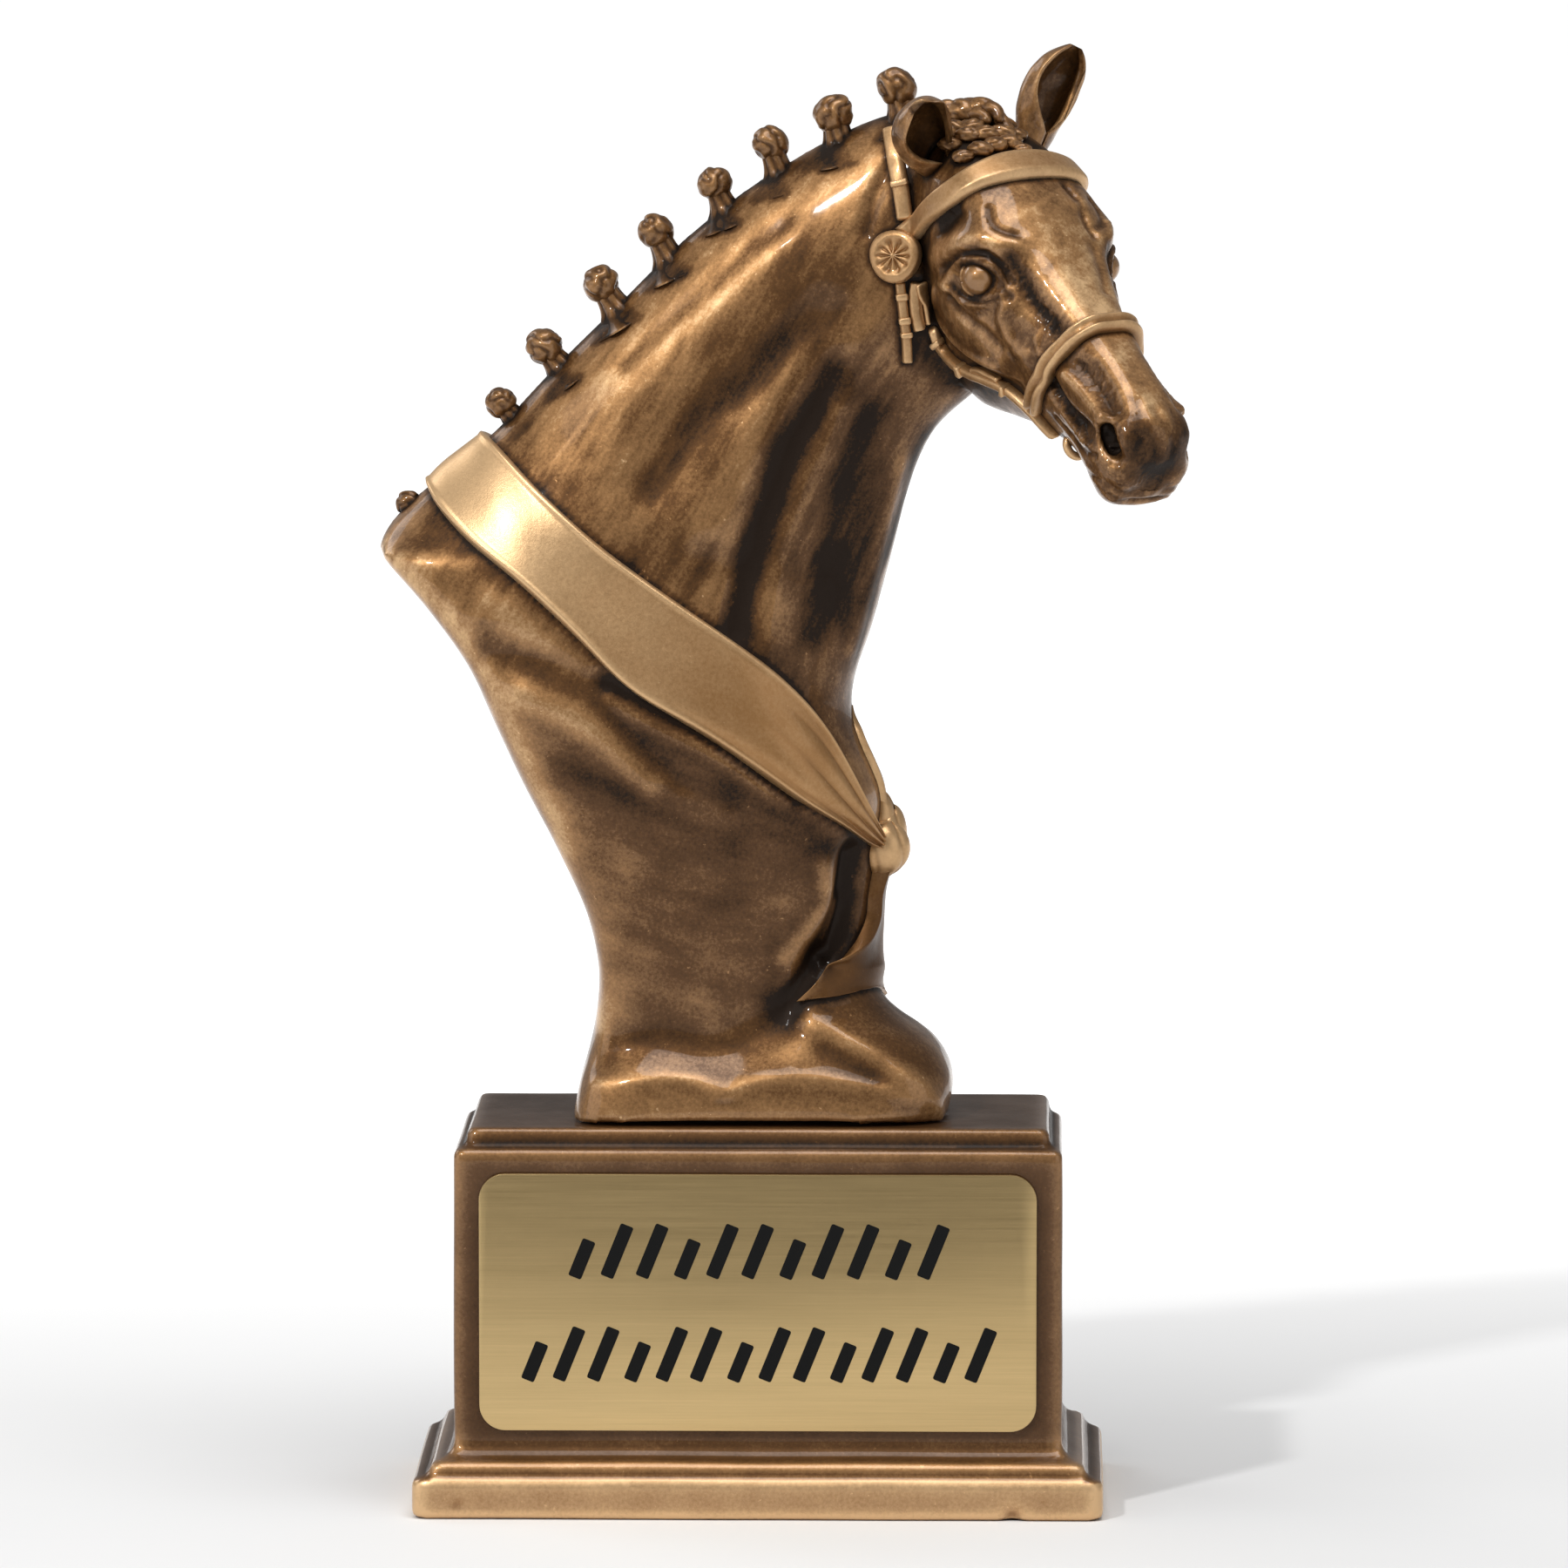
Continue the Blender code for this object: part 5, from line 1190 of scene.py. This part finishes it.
def plinth_profile():
    """heights up the plinth and how far it stands out from the die there, in millimetres"""
    foot, low, step = FOOT_HEIGHT, FOOT_HEIGHT + 1.9, PLINTH_TOP - STEP_HEIGHT
    rows = [(0.0, 0.90), (0.25, 0.96), (0.6, 1.0), (foot - 0.9, 1.0), (foot - 0.4, 0.975), (foot, 0.81)]
    rows = [(z, (FOOT_OUT[0] * share, FOOT_OUT[1] * share)) for z, share in rows]
    edge = [(foot + 0.2, MOULDING_OUT), (foot + 1.3, MOULDING_OUT - 0.1), (low - 0.2, MOULDING_OUT - 0.5)]
    turns = [math.radians(90 * k / 8) for k in range(9)]
    edge += [(low + COVE * (1 - math.cos(a)), COVE * (1 - math.sin(a))) for a in turns]
    edge += [(step - 0.7, 0.0), (step - 0.1, -0.45), (step, -STEP_IN)]
    edge += [(PLINTH_TOP - 0.5, -STEP_IN - 0.2), (PLINTH_TOP, -STEP_IN - 0.8)]
    return rows + [(z, (out, out)) for z, out in edge]


def rounded_ring(half_x, half_y, z, radius, arc_steps=5):
    """closed ring of a rectangle with round corners"""
    ring = []
    for quarter, (sx, sy) in enumerate(((1, 1), (-1, 1), (-1, -1), (1, -1))):
        for k in range(arc_steps + 1):
            angle = math.pi / 2 * (quarter + k / arc_steps)
            ring.append((sx * (half_x - radius) + radius * math.cos(angle),
                         sy * (half_y - radius) + radius * math.sin(angle), z))
    return ring


def make_plinth(sizes):
    """stepped block, remeshed finely and softened as a casting is, with its chips"""
    foot_x, foot_y = (PLINTH_HIGH[:2] - PLINTH_LOW[:2]) / 2
    rings = []
    for z, (out_x, out_y) in plinth_profile():
        corner = FOOT_CORNER if z <= FOOT_HEIGHT else DIE_CORNER
        half_x, half_y = foot_x + (out_x - FOOT_OUT[0]) * MM, foot_y + (out_y - FOOT_OUT[1]) * MM
        rings.append(rounded_ring(half_x, half_y, PLINTH_LOW[2] + z * MM, corner * MM))
    bm = bmesh.new()
    loft(bm, rings)
    plinth = object_from(bm, "plinth_casting")
    apply_modifier(plinth, "REMESH", mode="VOXEL", voxel_size=sizes.plinth_mesh)
    apply_modifier(plinth, "SMOOTH", factor=0.5, iterations=2)
    co, normals = points_of(plinth)
    waves = np.array([noise.noise(Vector(p) / (WAVE_LENGTH * MM)) for p in co]) * WAVE_HEIGHT * MM
    chips = stroked(co, [(width * MM, depth * MM, [np.array(spot) * MM]) for spot, width, depth in CHIPS])
    margin = FLAT_MARGIN * MM
    inside = ((co > PLINTH_LOW + margin) & (co < PLINTH_HIGH - margin)).all(1)
    move_points(plinth, co + normals * (np.where(inside, waves, np.minimum(waves, 0)) - chips)[:, None])
    return plinth


def make_plate():
    """brushed plate with round corners and a fine chamfer, and the black filling of its grooves"""
    middle, half = (PLATE_LOW + PLATE_HIGH) / 2, (PLATE_HIGH - PLATE_LOW) / 2
    bm = bmesh.new()
    bmesh.ops.create_cube(bm, size=2, matrix=Matrix.Translation(middle) @ Matrix.Diagonal((*half, 1)))
    upright = [e for e in bm.edges if abs(e.verts[0].co.y - e.verts[1].co.y) > half[1]]
    round_edges(bm, upright, PLATE_CORNER * MM, 12)
    front = [e for e in bm.edges if all(v.co.y < middle[1] for v in e.verts)]
    round_edges(bm, front, PLATE_CHAMFER * MM, 2)
    plate = object_from(bm, "name_plate_brushed")
    plate.data.set_sharp_from_angle(angle=math.radians(30))

    bm = bmesh.new()
    for over, share, count in PLATE_ROWS:
        for k in range(count):
            tall = GROOVE_TALL * (1.0 if k % 3 else SHORT_GROOVE)
            x = middle[0] + 2 * half[0] * share * (k / (count - 1) - 0.5)
            z = middle[2] + (over - (GROOVE_TALL - tall) / 2) * MM
            spot = (x, PLATE_LOW[1] + STROKE_SUNK * MM, z)
            place_at = Matrix.Translation(spot) @ Matrix.Rotation(GROOVE_LEAN, 4, "Y")
            size = Matrix.Diagonal((GROOVE_WIDE * MM, STROKE_THICK * MM, tall * MM, 1))
            bar = bmesh.ops.create_cube(bm, size=1, matrix=place_at @ size)["verts"]
            sides = [e for e in {e for v in bar for e in v.link_edges}
                     if abs(e.verts[0].co.y - e.verts[1].co.y) > 0.05 * MM]
            round_edges(bm, sides, STROKE_ROUND * MM)
    strokes = object_from(bm, "plate_strokes")
    strokes.data.set_sharp_from_angle(angle=math.radians(30))
    return [plate, strokes]


def neighbour_mean(values, ends, rounds):
    """values at a mesh's vertices after rounds of averaging with their neighbours"""
    count = len(values)
    degree = np.maximum(np.bincount(ends.ravel(), minlength=count), 1)
    values = values.copy()
    for _ in range(rounds):
        for axis in range(values.shape[1]):
            column = values[:, axis]
            total = np.bincount(ends[:, 0], column[ends[:, 1]], count)
            total += np.bincount(ends[:, 1], column[ends[:, 0]], count)
            values[:, axis] = 0.5 * column + 0.5 * total / degree
    return values


def write_attribute(obj, name, values):
    layer = obj.data.attributes.get(name) or obj.data.attributes.new(name, "FLOAT", "POINT")
    layer.data.foreach_set("value", np.asarray(values, np.float32))


def age(obj, tone, fine_rounds=4, broad_rounds=30, fine_size=0.05, broad_size=0.35):
    """attributes for the finish: relief is 1 on ridges and 0 in hollows, and tone is the painted
    highlights, the painted shade and the rubbing
    """
    co, normals = points_of(obj)
    ends = np.empty(2 * len(obj.data.edges), int)
    obj.data.edges.foreach_get("vertices", ends)
    ends = ends.reshape(-1, 2)
    relief = 0
    for rounds, size, share in ((fine_rounds, fine_size, 0.45), (broad_rounds, broad_size, 0.55)):
        out = ((co - neighbour_mean(co, ends, rounds)) * normals).sum(1) / (size * MM)
        relief = relief + share * np.tanh(out)
    relief = neighbour_mean(relief[:, None], ends, 1)[:, 0]
    write_attribute(obj, "relief", 0.5 + 0.5 * relief)
    write_attribute(obj, "tone", tone)


def contact_shade(obj, other, reach):
    """1 where a piece meets another surface and 0 beyond reach, for the patina and painted shade there"""
    co, _ = points_of(obj)
    away = np.array([other.find_nearest(Vector(p))[3] for p in co])
    return 1 - smooth_between(0, reach * MM, away)


class Wire:
    """output socket that adds Math nodes when it is used in an expression"""

    def __init__(self, finish, socket):
        self.finish, self.socket = finish, socket

    def maths(self, operation, first, second):
        node = self.finish.node("ShaderNodeMath", {"operation": operation}, {0: first, 1: second})
        return Wire(self.finish, node.outputs[0])

    def __add__(self, other):
        return self.maths("ADD", self, other)

    def __radd__(self, other):
        return self.maths("ADD", other, self)

    def __sub__(self, other):
        return self.maths("SUBTRACT", self, other)

    def __rsub__(self, other):
        return self.maths("SUBTRACT", other, self)

    def __mul__(self, other):
        return self.maths("MULTIPLY", self, other)

    def __rmul__(self, other):
        return self.maths("MULTIPLY", other, self)

    def __pow__(self, other):
        return self.maths("POWER", self, other)


class Finish:
    """material that is put together from nodes"""

    def __init__(self, name):
        self.material = bpy.data.materials.new(name)
        self.material.use_nodes = True
        self.tree = self.material.node_tree
        self.shader = self.tree.nodes["Principled BSDF"]
        self.place = self.node("ShaderNodeTexCoord").outputs["Object"]

    def node(self, kind, settings=None, sockets=None):
        """node of a type, with its settings and then its sockets' values or links"""
        made = self.tree.nodes.new(kind)
        for key, value in (settings or {}).items():
            if key == "stops":
                self.set_stops(made.color_ramp, value)
            else:
                setattr(made, key, value)
        self.feed(made, sockets or {})
        return made

    def feed(self, node, sockets):
        for key, value in sockets.items():
            socket = node.inputs[key]
            if isinstance(value, Wire):
                value = value.socket
            if isinstance(value, bpy.types.NodeSocket):
                self.tree.links.new(value, socket)
            else:
                socket.default_value = value

    def set_stops(self, ramp, stops):
        while len(ramp.elements) < len(stops):
            ramp.elements.new(1.0)
        for element, (at, colour) in zip(ramp.elements, stops):
            element.position, element.color = at, (*colour, 1.0)

    def attribute(self, name):
        return Wire(self, self.node("ShaderNodeAttribute", {"attribute_name": name}).outputs["Fac"])

    def noise(self, size, detail=3.0, roughness=0.55, place=None):
        """noise from 0 to 1 whose waves are about as long as size, in metres"""
        made = self.node("ShaderNodeTexNoise", {}, {"Vector": place or self.place, "Scale": 1 / size,
                                                    "Detail": detail, "Roughness": roughness})
        return Wire(self, made.outputs["Fac"])

    def stretched(self, turn, scale):
        """object coordinates turned and stretched, for marks that run one way"""
        return self.node("ShaderNodeMapping", {"vector_type": "TEXTURE"},
                         {"Vector": self.place, "Rotation": turn, "Scale": scale}).outputs["Vector"]

    def between(self, value, low, high, to_low=0.0, to_high=1.0):
        made = self.node("ShaderNodeMapRange", {"interpolation_type": "SMOOTHSTEP"},
                         {"Value": value, "From Min": low, "From Max": high,
                          "To Min": to_low, "To Max": to_high})
        return Wire(self, made.outputs["Result"])

    def axis(self, name):
        """one of the object's own coordinates, in metres"""
        return self.node("ShaderNodeSeparateXYZ", {}, {"Vector": self.place}).outputs[name]

    def ramp(self, value, stops):
        return self.node("ShaderNodeValToRGB", {"stops": stops}, {"Fac": value}).outputs["Color"]

    def mix(self, factor, first, second):
        made = self.node("ShaderNodeMix", {"data_type": "RGBA"}, {"Factor": factor, 6: first, 7: second})
        return made.outputs[2]

    def bump(self, height, distance, strength=1.0):
        made = self.node("ShaderNodeBump", {},
                         {"Height": height, "Distance": distance, "Strength": strength})
        return made.outputs["Normal"]


def bronze(name, colours, lift=0.0, contrast=1.0, mottle=1.0, coat=0.6, rough=(0.55, 0.4), streaks=0.35):
    """bronzed resin: dark wash in the hollows, rubbed gold on the ridges, and the painted highlights and
    painted shade of the tone attribute, under a clear lacquer
    """
    f = Finish(name)
    relief, tone = f.attribute("relief"), f.attribute("tone")
    blotch = f.noise(5.0 * MM, 4.0, 0.6)
    patch = f.noise(16 * MM, 2.0)
    grain = f.noise(0.45 * MM, 3.0, 0.7)
    speck = f.between(f.noise(0.8 * MM, 2.0, 0.6), 0.70, 0.76)
    along = f.noise(2.0 * MM, 3.0, 0.6, f.stretched((0, STREAK_UP, 0), (6, 1, 1)))
    across = 0.25 + 0.5 * f.noise(3.2 * MM, 2.0, 0.5, f.stretched((0, STREAK_DOWN, 0), (4, 1, 1)))
    brushed = across + f.between(f.axis("Z"), *STREAKS_TURN) * (along - across)
    # relief brings the dark wash and the rubbed gold, and tone the painted highlights and painted shade
    amount = 0.38 + lift + contrast * (0.72 * (relief - 0.5) + 0.42 * tone)
    amount = amount + mottle * (0.34 * (blotch - 0.5) + 0.18 * (patch - 0.5) + 0.50 * (grain - 0.5)
                                + streaks * (brushed - 0.5) + 0.25 * speck)
    fine = f.noise(0.22 * MM, 2.0, 0.6)
    worn_off = f.between(amount, 0.7, 1.0, 0.0, 0.6 * coat)
    f.feed(f.shader, {
        "Base Color": f.ramp(amount, list(zip(COLOUR_STOPS, colours))),
        "Metallic": f.between(amount, 0.1, 0.7, 0.6, 0.7),
        "Roughness": f.between(amount, 0.1, 0.8, *rough) + 0.22 * (grain - 0.5),
        "Normal": f.bump(grain * 0.5 + fine * 0.3 + blotch * 2.0, 0.05 * MM, 0.6),
        "Coat Weight": f.between(amount, 0.05, 0.6, 0.15 * coat, coat) - worn_off,
        "Specular IOR Level": 0.25,
        "Coat Roughness": 0.07,
        "Coat IOR": 1.5,
    })
    return f.material


def brushed_metal(name, low, high):
    """plate brushed from side to side, a little brighter towards its foot"""
    f = Finish(name)
    lines = f.noise(0.30 * MM, 4.0, 0.75, f.stretched((0, 0, 0), (80, 1, 1)))
    broad = f.noise(3.0 * MM, 2.0, 0.5, f.stretched((0, 0, 0), (20, 1, 1)))
    fall = f.between(f.axis("Z"), float(PLATE_LOW[2]), float(PLATE_HIGH[2]), 1.0, 0.0)
    shade = 0.5 + 0.25 * (fall - 0.5) + 0.7 * (lines - 0.5) + 0.45 * (broad - 0.5)
    f.feed(f.shader, {
        "Base Color": f.mix(shade, (*low, 1.0), (*high, 1.0)),
        "Metallic": 1.0,
        "Roughness": 0.36 + 0.16 * (lines - 0.5),
        "Anisotropic": 0.5,
        "Normal": f.bump(lines, 0.012 * MM, 0.5),
    })
    return f.material


def filled_black(name, colour):
    """matt black filling with a faint grain"""
    f = Finish(name)
    grain = f.noise(0.5 * MM, 2.0)
    f.feed(f.shader, {"Base Color": f.mix(grain, (*colour, 1.0), (*(c * 1.5 for c in colour), 1.0)),
                      "Roughness": 0.55 + 0.2 * (grain - 0.5), "Specular IOR Level": 0.15})
    return f.material


def pale_floor(name, colour):
    """plain pale floor with hardly any grain, lit up behind the trophy as a backdrop is"""
    f = Finish(name)
    grain = f.noise(40 * MM, 2.0)
    behind = f.between(f.axis("Y"), 0.0, BACKDROP_DEPTH)
    f.feed(f.shader, {"Base Color": f.mix(grain, (*colour, 1.0), (*(c * 0.985 for c in colour), 1.0)),
                      "Roughness": 0.9, "Specular IOR Level": 0.1, "Emission Strength": BACKDROP_GLOW,
                      "Emission Color": f.ramp(behind, [(0.0, (0, 0, 0)), (1.0, (1, 1, 1))])})
    return f.material


def finish_piece(obj, material, node):
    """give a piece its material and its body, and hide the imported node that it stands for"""
    obj.data.materials.clear()
    obj.data.materials.append(material)
    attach(obj, "root")
    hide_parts(node)


def area_light(name, place_at, size, power):
    light = bpy.data.lights.new(name, "AREA")
    light.size, light.energy = size, power
    obj = bpy.data.objects.new(name, light)
    obj.location = place_at
    obj.rotation_euler = (Vector(LIGHT_AIM) - Vector(place_at)).to_track_quat("-Z", "Y").to_euler()
    bpy.context.scene.collection.objects.link(obj)


def mesh_size(name, about, value, least):
    return FloatProperty(name=name, description=about, default=value * MM, min=least * MM, unit="LENGTH",
                         precision=5)


def brightness(name, about, value):
    return FloatProperty(name=name, description=about, default=value, min=0.0)


def tint(name, about, value):
    return FloatVectorProperty(name=name, description=about, default=value, subtype="COLOR")


class TrophySizes(bpy.types.PropertyGroup):
    skin_mesh: mesh_size("Skin mesh", "Mesh size of the head, neck and chest", 0.7, 0.4)
    plinth_mesh: mesh_size("Plinth mesh", "Mesh size of the plinth", 0.55, 0.3)
    key_power: brightness("Key light", "Power of the small key light, in watts", 6.0)
    top_power: brightness("Top light", "Power of the wide light overhead, in watts", 11.0)
    fill_power: brightness("Fill light", "Power of the light from the right, in watts", 1.6)
    surround: brightness("Surround", "Brightness of the white studio all round", 0.28)


class TrophyColours(bpy.types.PropertyGroup):
    wash: tint("Wash", "Dark wash left in the hollows of the bronze", (0.016, 0.0085, 0.0045))
    brown: tint("Brown", "Bronze where it isn't rubbed", (0.115, 0.050, 0.014))
    gold: tint("Gold", "Bronze where it is rubbed a little", (0.35, 0.182, 0.069))
    rub: tint("Rub", "Bronze on the ridges that are rubbed bright", (0.72, 0.47, 0.245))
    plate_low: tint("Plate shade", "Darker lines of the brushed plate", (0.42, 0.30, 0.135))
    plate_high: tint("Plate light", "Brighter lines of the brushed plate", (0.74, 0.54, 0.265))
    filling: tint("Filling", "Black filling of the plate's grooves", (0.003, 0.003, 0.003))
    floor: tint("Floor", "Pale studio floor", (0.82, 0.82, 0.82))


def bust_surface():
    return surface_of(bpy.data.objects["bust_skin"])


class Step:
    """one step of the build, which the panel shows as a button"""

    def execute(self, context):
        self.build(context.scene)
        return {"FINISHED"}


class TROPHY_OT_bust(Step, bpy.types.Operator):
    """Build the head, neck, chest and rock as one cast surface"""
    bl_idname = "trophy.bust"
    bl_label = "Bust"

    def build(self, scene):
        make_skin(scene.trophy_sizes)


class TROPHY_OT_eyes(Step, bpy.types.Operator):
    """Add the eyeballs and their lids"""
    bl_idname = "trophy.eyes"
    bl_label = "Eyes"

    def build(self, scene):
        make_eyes(bust_surface())


class TROPHY_OT_ears(Step, bpy.types.Operator):
    """Add the two ears"""
    bl_idname = "trophy.ears"
    bl_label = "Ears"

    def build(self, scene):
        for name, (base, base_y, tip, tip_y, opening, half) in EARS.items():
            make_ear(name, place(base, base_y), place(tip, tip_y), opening, half)


class TROPHY_OT_bridle(Step, bpy.types.Operator):
    """Add the bridle with its rosette and bit ring"""
    bl_idname = "trophy.bridle"
    bl_label = "Bridle"

    def build(self, scene):
        make_bridle(bust_surface())


class TROPHY_OT_mane(Step, bpy.types.Operator):
    """Add the button plaits along the crest and the forelock"""
    bl_idname = "trophy.mane"
    bl_label = "Mane"

    def build(self, scene):
        make_plaits()
        make_forelock(bust_surface())


class TROPHY_OT_sash(Step, bpy.types.Operator):
    """Add the sash, its knot and its hanging tail"""
    bl_idname = "trophy.sash"
    bl_label = "Sash"

    def build(self, scene):
        make_sash(bust_surface())


class TROPHY_OT_plinth(Step, bpy.types.Operator):
    """Build the stepped plinth and the name plate with its grooves"""
    bl_idname = "trophy.plinth"
    bl_label = "Plinth and plate"

    def build(self, scene):
        make_plinth(scene.trophy_sizes)
        make_plate()


class TROPHY_OT_finish(Step, bpy.types.Operator):
    """Age the bronze and give every piece its material"""
    bl_idname = "trophy.finish"
    bl_label = "Finish"

    def build(self, scene):
        c = scene.trophy_colours
        colours = [tuple(x) for x in (c.wash, c.brown, c.gold, c.rub)]
        body = bronze("aged_bronze", colours, coat=0.6, streaks=0.8)
        trim = bronze("rubbed_bronze", colours, lift=0.34, contrast=0.7, mottle=0.45, coat=0.35)
        silk = bronze("satin_bronze", colours, lift=0.41, contrast=0.5, mottle=0.3, coat=0.2,
                      rough=(0.5, 0.36))
        lens = bronze("eye_bronze", colours, lift=0.12, mottle=0.3, coat=1.0)
        hair = bronze("hair_bronze", colours, lift=-0.08, contrast=1.2, mottle=0.7)
        cast = bronze("plinth_bronze", colours, lift=-0.09, contrast=0.9, mottle=0.6, coat=0.75,
                      streaks=0.1)
        looks = {"bust_skin": body, "ear_near": body, "ear_far": body, "eyelids": body, "eyes": lens,
                 "mane_plaits": hair, "forelock": hair, "sash": silk, "sash_tail": silk,
                 "sash_knot": silk}
        skin = bpy.data.objects["bust_skin"]
        surface = bust_surface()
        bust_pieces = [o for o in scene.objects if o.type == "MESH" and o.name not in NOT_BUST]
        laid_on = surface_of(*[o for o in bust_pieces if o != skin])
        for obj in bust_pieces:
            # tone holds the tables' painted highlights and painted shade, less the patina and painted shade
            # where pieces meet
            if obj == skin:
                tones = strokes_on(surface, BUST_TONES, mirrored_in_tones)
                other, (dark, reach) = laid_on, SKIN_PATINA_AND_SHADE
            else:
                tones = [(width * UNIT, height, [place(mark, y) for mark in marks])
                         for width, height, y, marks in PIECE_TONES.get(obj.name, [])]
                other, (dark, reach) = surface, PIECE_PATINA_AND_SHADE
            co, _ = points_of(obj)
            age(obj, stroked(co, tones) - dark * contact_shade(obj, other, reach))
            finish_piece(obj, looks.get(obj.name, trim), "horse_bust")
        plinth = bpy.data.objects["plinth_casting"]
        age(plinth, plinth_tone(plinth), fine_rounds=6, broad_rounds=24, fine_size=0.10, broad_size=0.30)
        finish_piece(plinth, cast, "plinth")
        plate, strokes = bpy.data.objects["name_plate_brushed"], bpy.data.objects["plate_strokes"]
        brass = brushed_metal("brushed_brass", c.plate_low, c.plate_high)
        finish_piece(plate, brass, "name_plate")
        finish_piece(strokes, filled_black("black_filling", c.filling), "name_plate")


def mirrored_in_tones(point):
    """the other side of the head or the trunk, whichever the point is on"""
    u, _, w = on_head(np.array(point))
    return mirrored_on_head(point) if u > 0.0 and u + w > -0.3 else mirrored_on_trunk(point)


def plinth_tone(plinth):
    """foot and moulding rubbed gold, the die's frame and the step darker, and painted shade on the tops"""
    co, normals = points_of(plinth)
    z = (co[:, 2] - PLINTH_LOW[2]) / MM
    upright = np.abs(normals[:, 2]) < 0.7
    foot = FOOT_TONE * (1 - smooth_between(FOOT_HEIGHT - 0.2, FOOT_HEIGHT + 0.4, z)) * upright
    # painted shade on the faces that look up
    tops = TOPS_PAINTED_SHADE * smooth_between(0.5, 0.9, normals[:, 2])
    moulding = MOULDING_TONE * smooth_between(FOOT_HEIGHT, FOOT_HEIGHT + 1, z)
    moulding = moulding * (1 - smooth_between(*MOULDING_GOES, z))
    step_at = PLINTH_TOP - STEP_HEIGHT
    step = STEP_TONE * smooth_between(step_at - 0.8, step_at, z) * upright
    die = FRAME_TONE * upright * smooth_between(*FRAME_COMES, z) * (1 - smooth_between(*FRAME_GOES, z))
    return foot + tops + moulding + step + die


class TROPHY_OT_stage(Step, bpy.types.Operator):
    """Add the floor, the studio light and the camera"""
    bl_idname = "trophy.stage"
    bl_label = "Stage"

    def build(self, scene):
        sizes = scene.trophy_sizes
        bm = bmesh.new()
        bmesh.ops.create_circle(bm, segments=96, radius=FLOOR_RADIUS, cap_ends=True)
        floor = object_from(bm, "floor")
        floor.data.materials.append(pale_floor("studio_floor", scene.trophy_colours.floor))

        world = bpy.data.worlds.new("studio")
        world.use_nodes = True
        shown = world.node_tree.nodes["Background"]
        shown.inputs["Color"].default_value = (1.0, 1.0, 1.0, 1.0)
        shown.inputs["Strength"].default_value = sizes.surround
        scene.world = world
        for name, (place_at, size, power, share) in LIGHTS.items():
            area_light(name, place_at, size, share * getattr(sizes, power))

        eye, ray = eye_and_ray((EYE_TARGET[0], EYE_TARGET[2]))
        lens = bpy.data.cameras.new("camera")
        lens.sensor_width = SENSOR
        lens.lens = SENSOR * EYE_DISTANCE * UNIT / FRAME_WIDTH
        lens.clip_end = FAR_CLIP
        camera = bpy.data.objects.new("camera", lens)
        camera.location = eye
        camera.rotation_euler = Vector(ray).to_track_quat("-Z", "Y").to_euler()
        scene.collection.objects.link(camera)
        scene.camera = camera
        scene.view_settings.view_transform = "Standard"


STEPS = [TROPHY_OT_bust, TROPHY_OT_eyes, TROPHY_OT_ears, TROPHY_OT_bridle, TROPHY_OT_mane, TROPHY_OT_sash,
         TROPHY_OT_plinth, TROPHY_OT_finish, TROPHY_OT_stage]


class TROPHY_PT_panel(bpy.types.Panel):
    """Steps of the trophy in their order, with its sizes and colours"""
    bl_label = "Horse trophy"
    bl_idname = "TROPHY_PT_panel"
    bl_space_type = "VIEW_3D"
    bl_region_type = "UI"
    bl_category = "Trophy"

    def draw(self, context):
        for step in STEPS:
            self.layout.operator(step.bl_idname)
        for group in (context.scene.trophy_sizes, context.scene.trophy_colours):
            box = self.layout.box()
            for name in group.__annotations__:
                box.prop(group, name)


CLASSES = [TrophySizes, TrophyColours, *STEPS, TROPHY_PT_panel]


def register():
    for cls in CLASSES:
        bpy.utils.register_class(cls)
    bpy.types.Scene.trophy_sizes = PointerProperty(type=TrophySizes)
    bpy.types.Scene.trophy_colours = PointerProperty(type=TrophyColours)


def unregister():
    del bpy.types.Scene.trophy_colours
    del bpy.types.Scene.trophy_sizes
    for cls in reversed(CLASSES):
        bpy.utils.unregister_class(cls)


def main():
    register()
    bpy.ops.trophy.bust()
    bpy.ops.trophy.eyes()
    bpy.ops.trophy.ears()
    bpy.ops.trophy.bridle()
    bpy.ops.trophy.mane()
    bpy.ops.trophy.sash()
    bpy.ops.trophy.plinth()
    bpy.ops.trophy.finish()
    bpy.ops.trophy.stage()


if __name__ == "__main__":
    main()
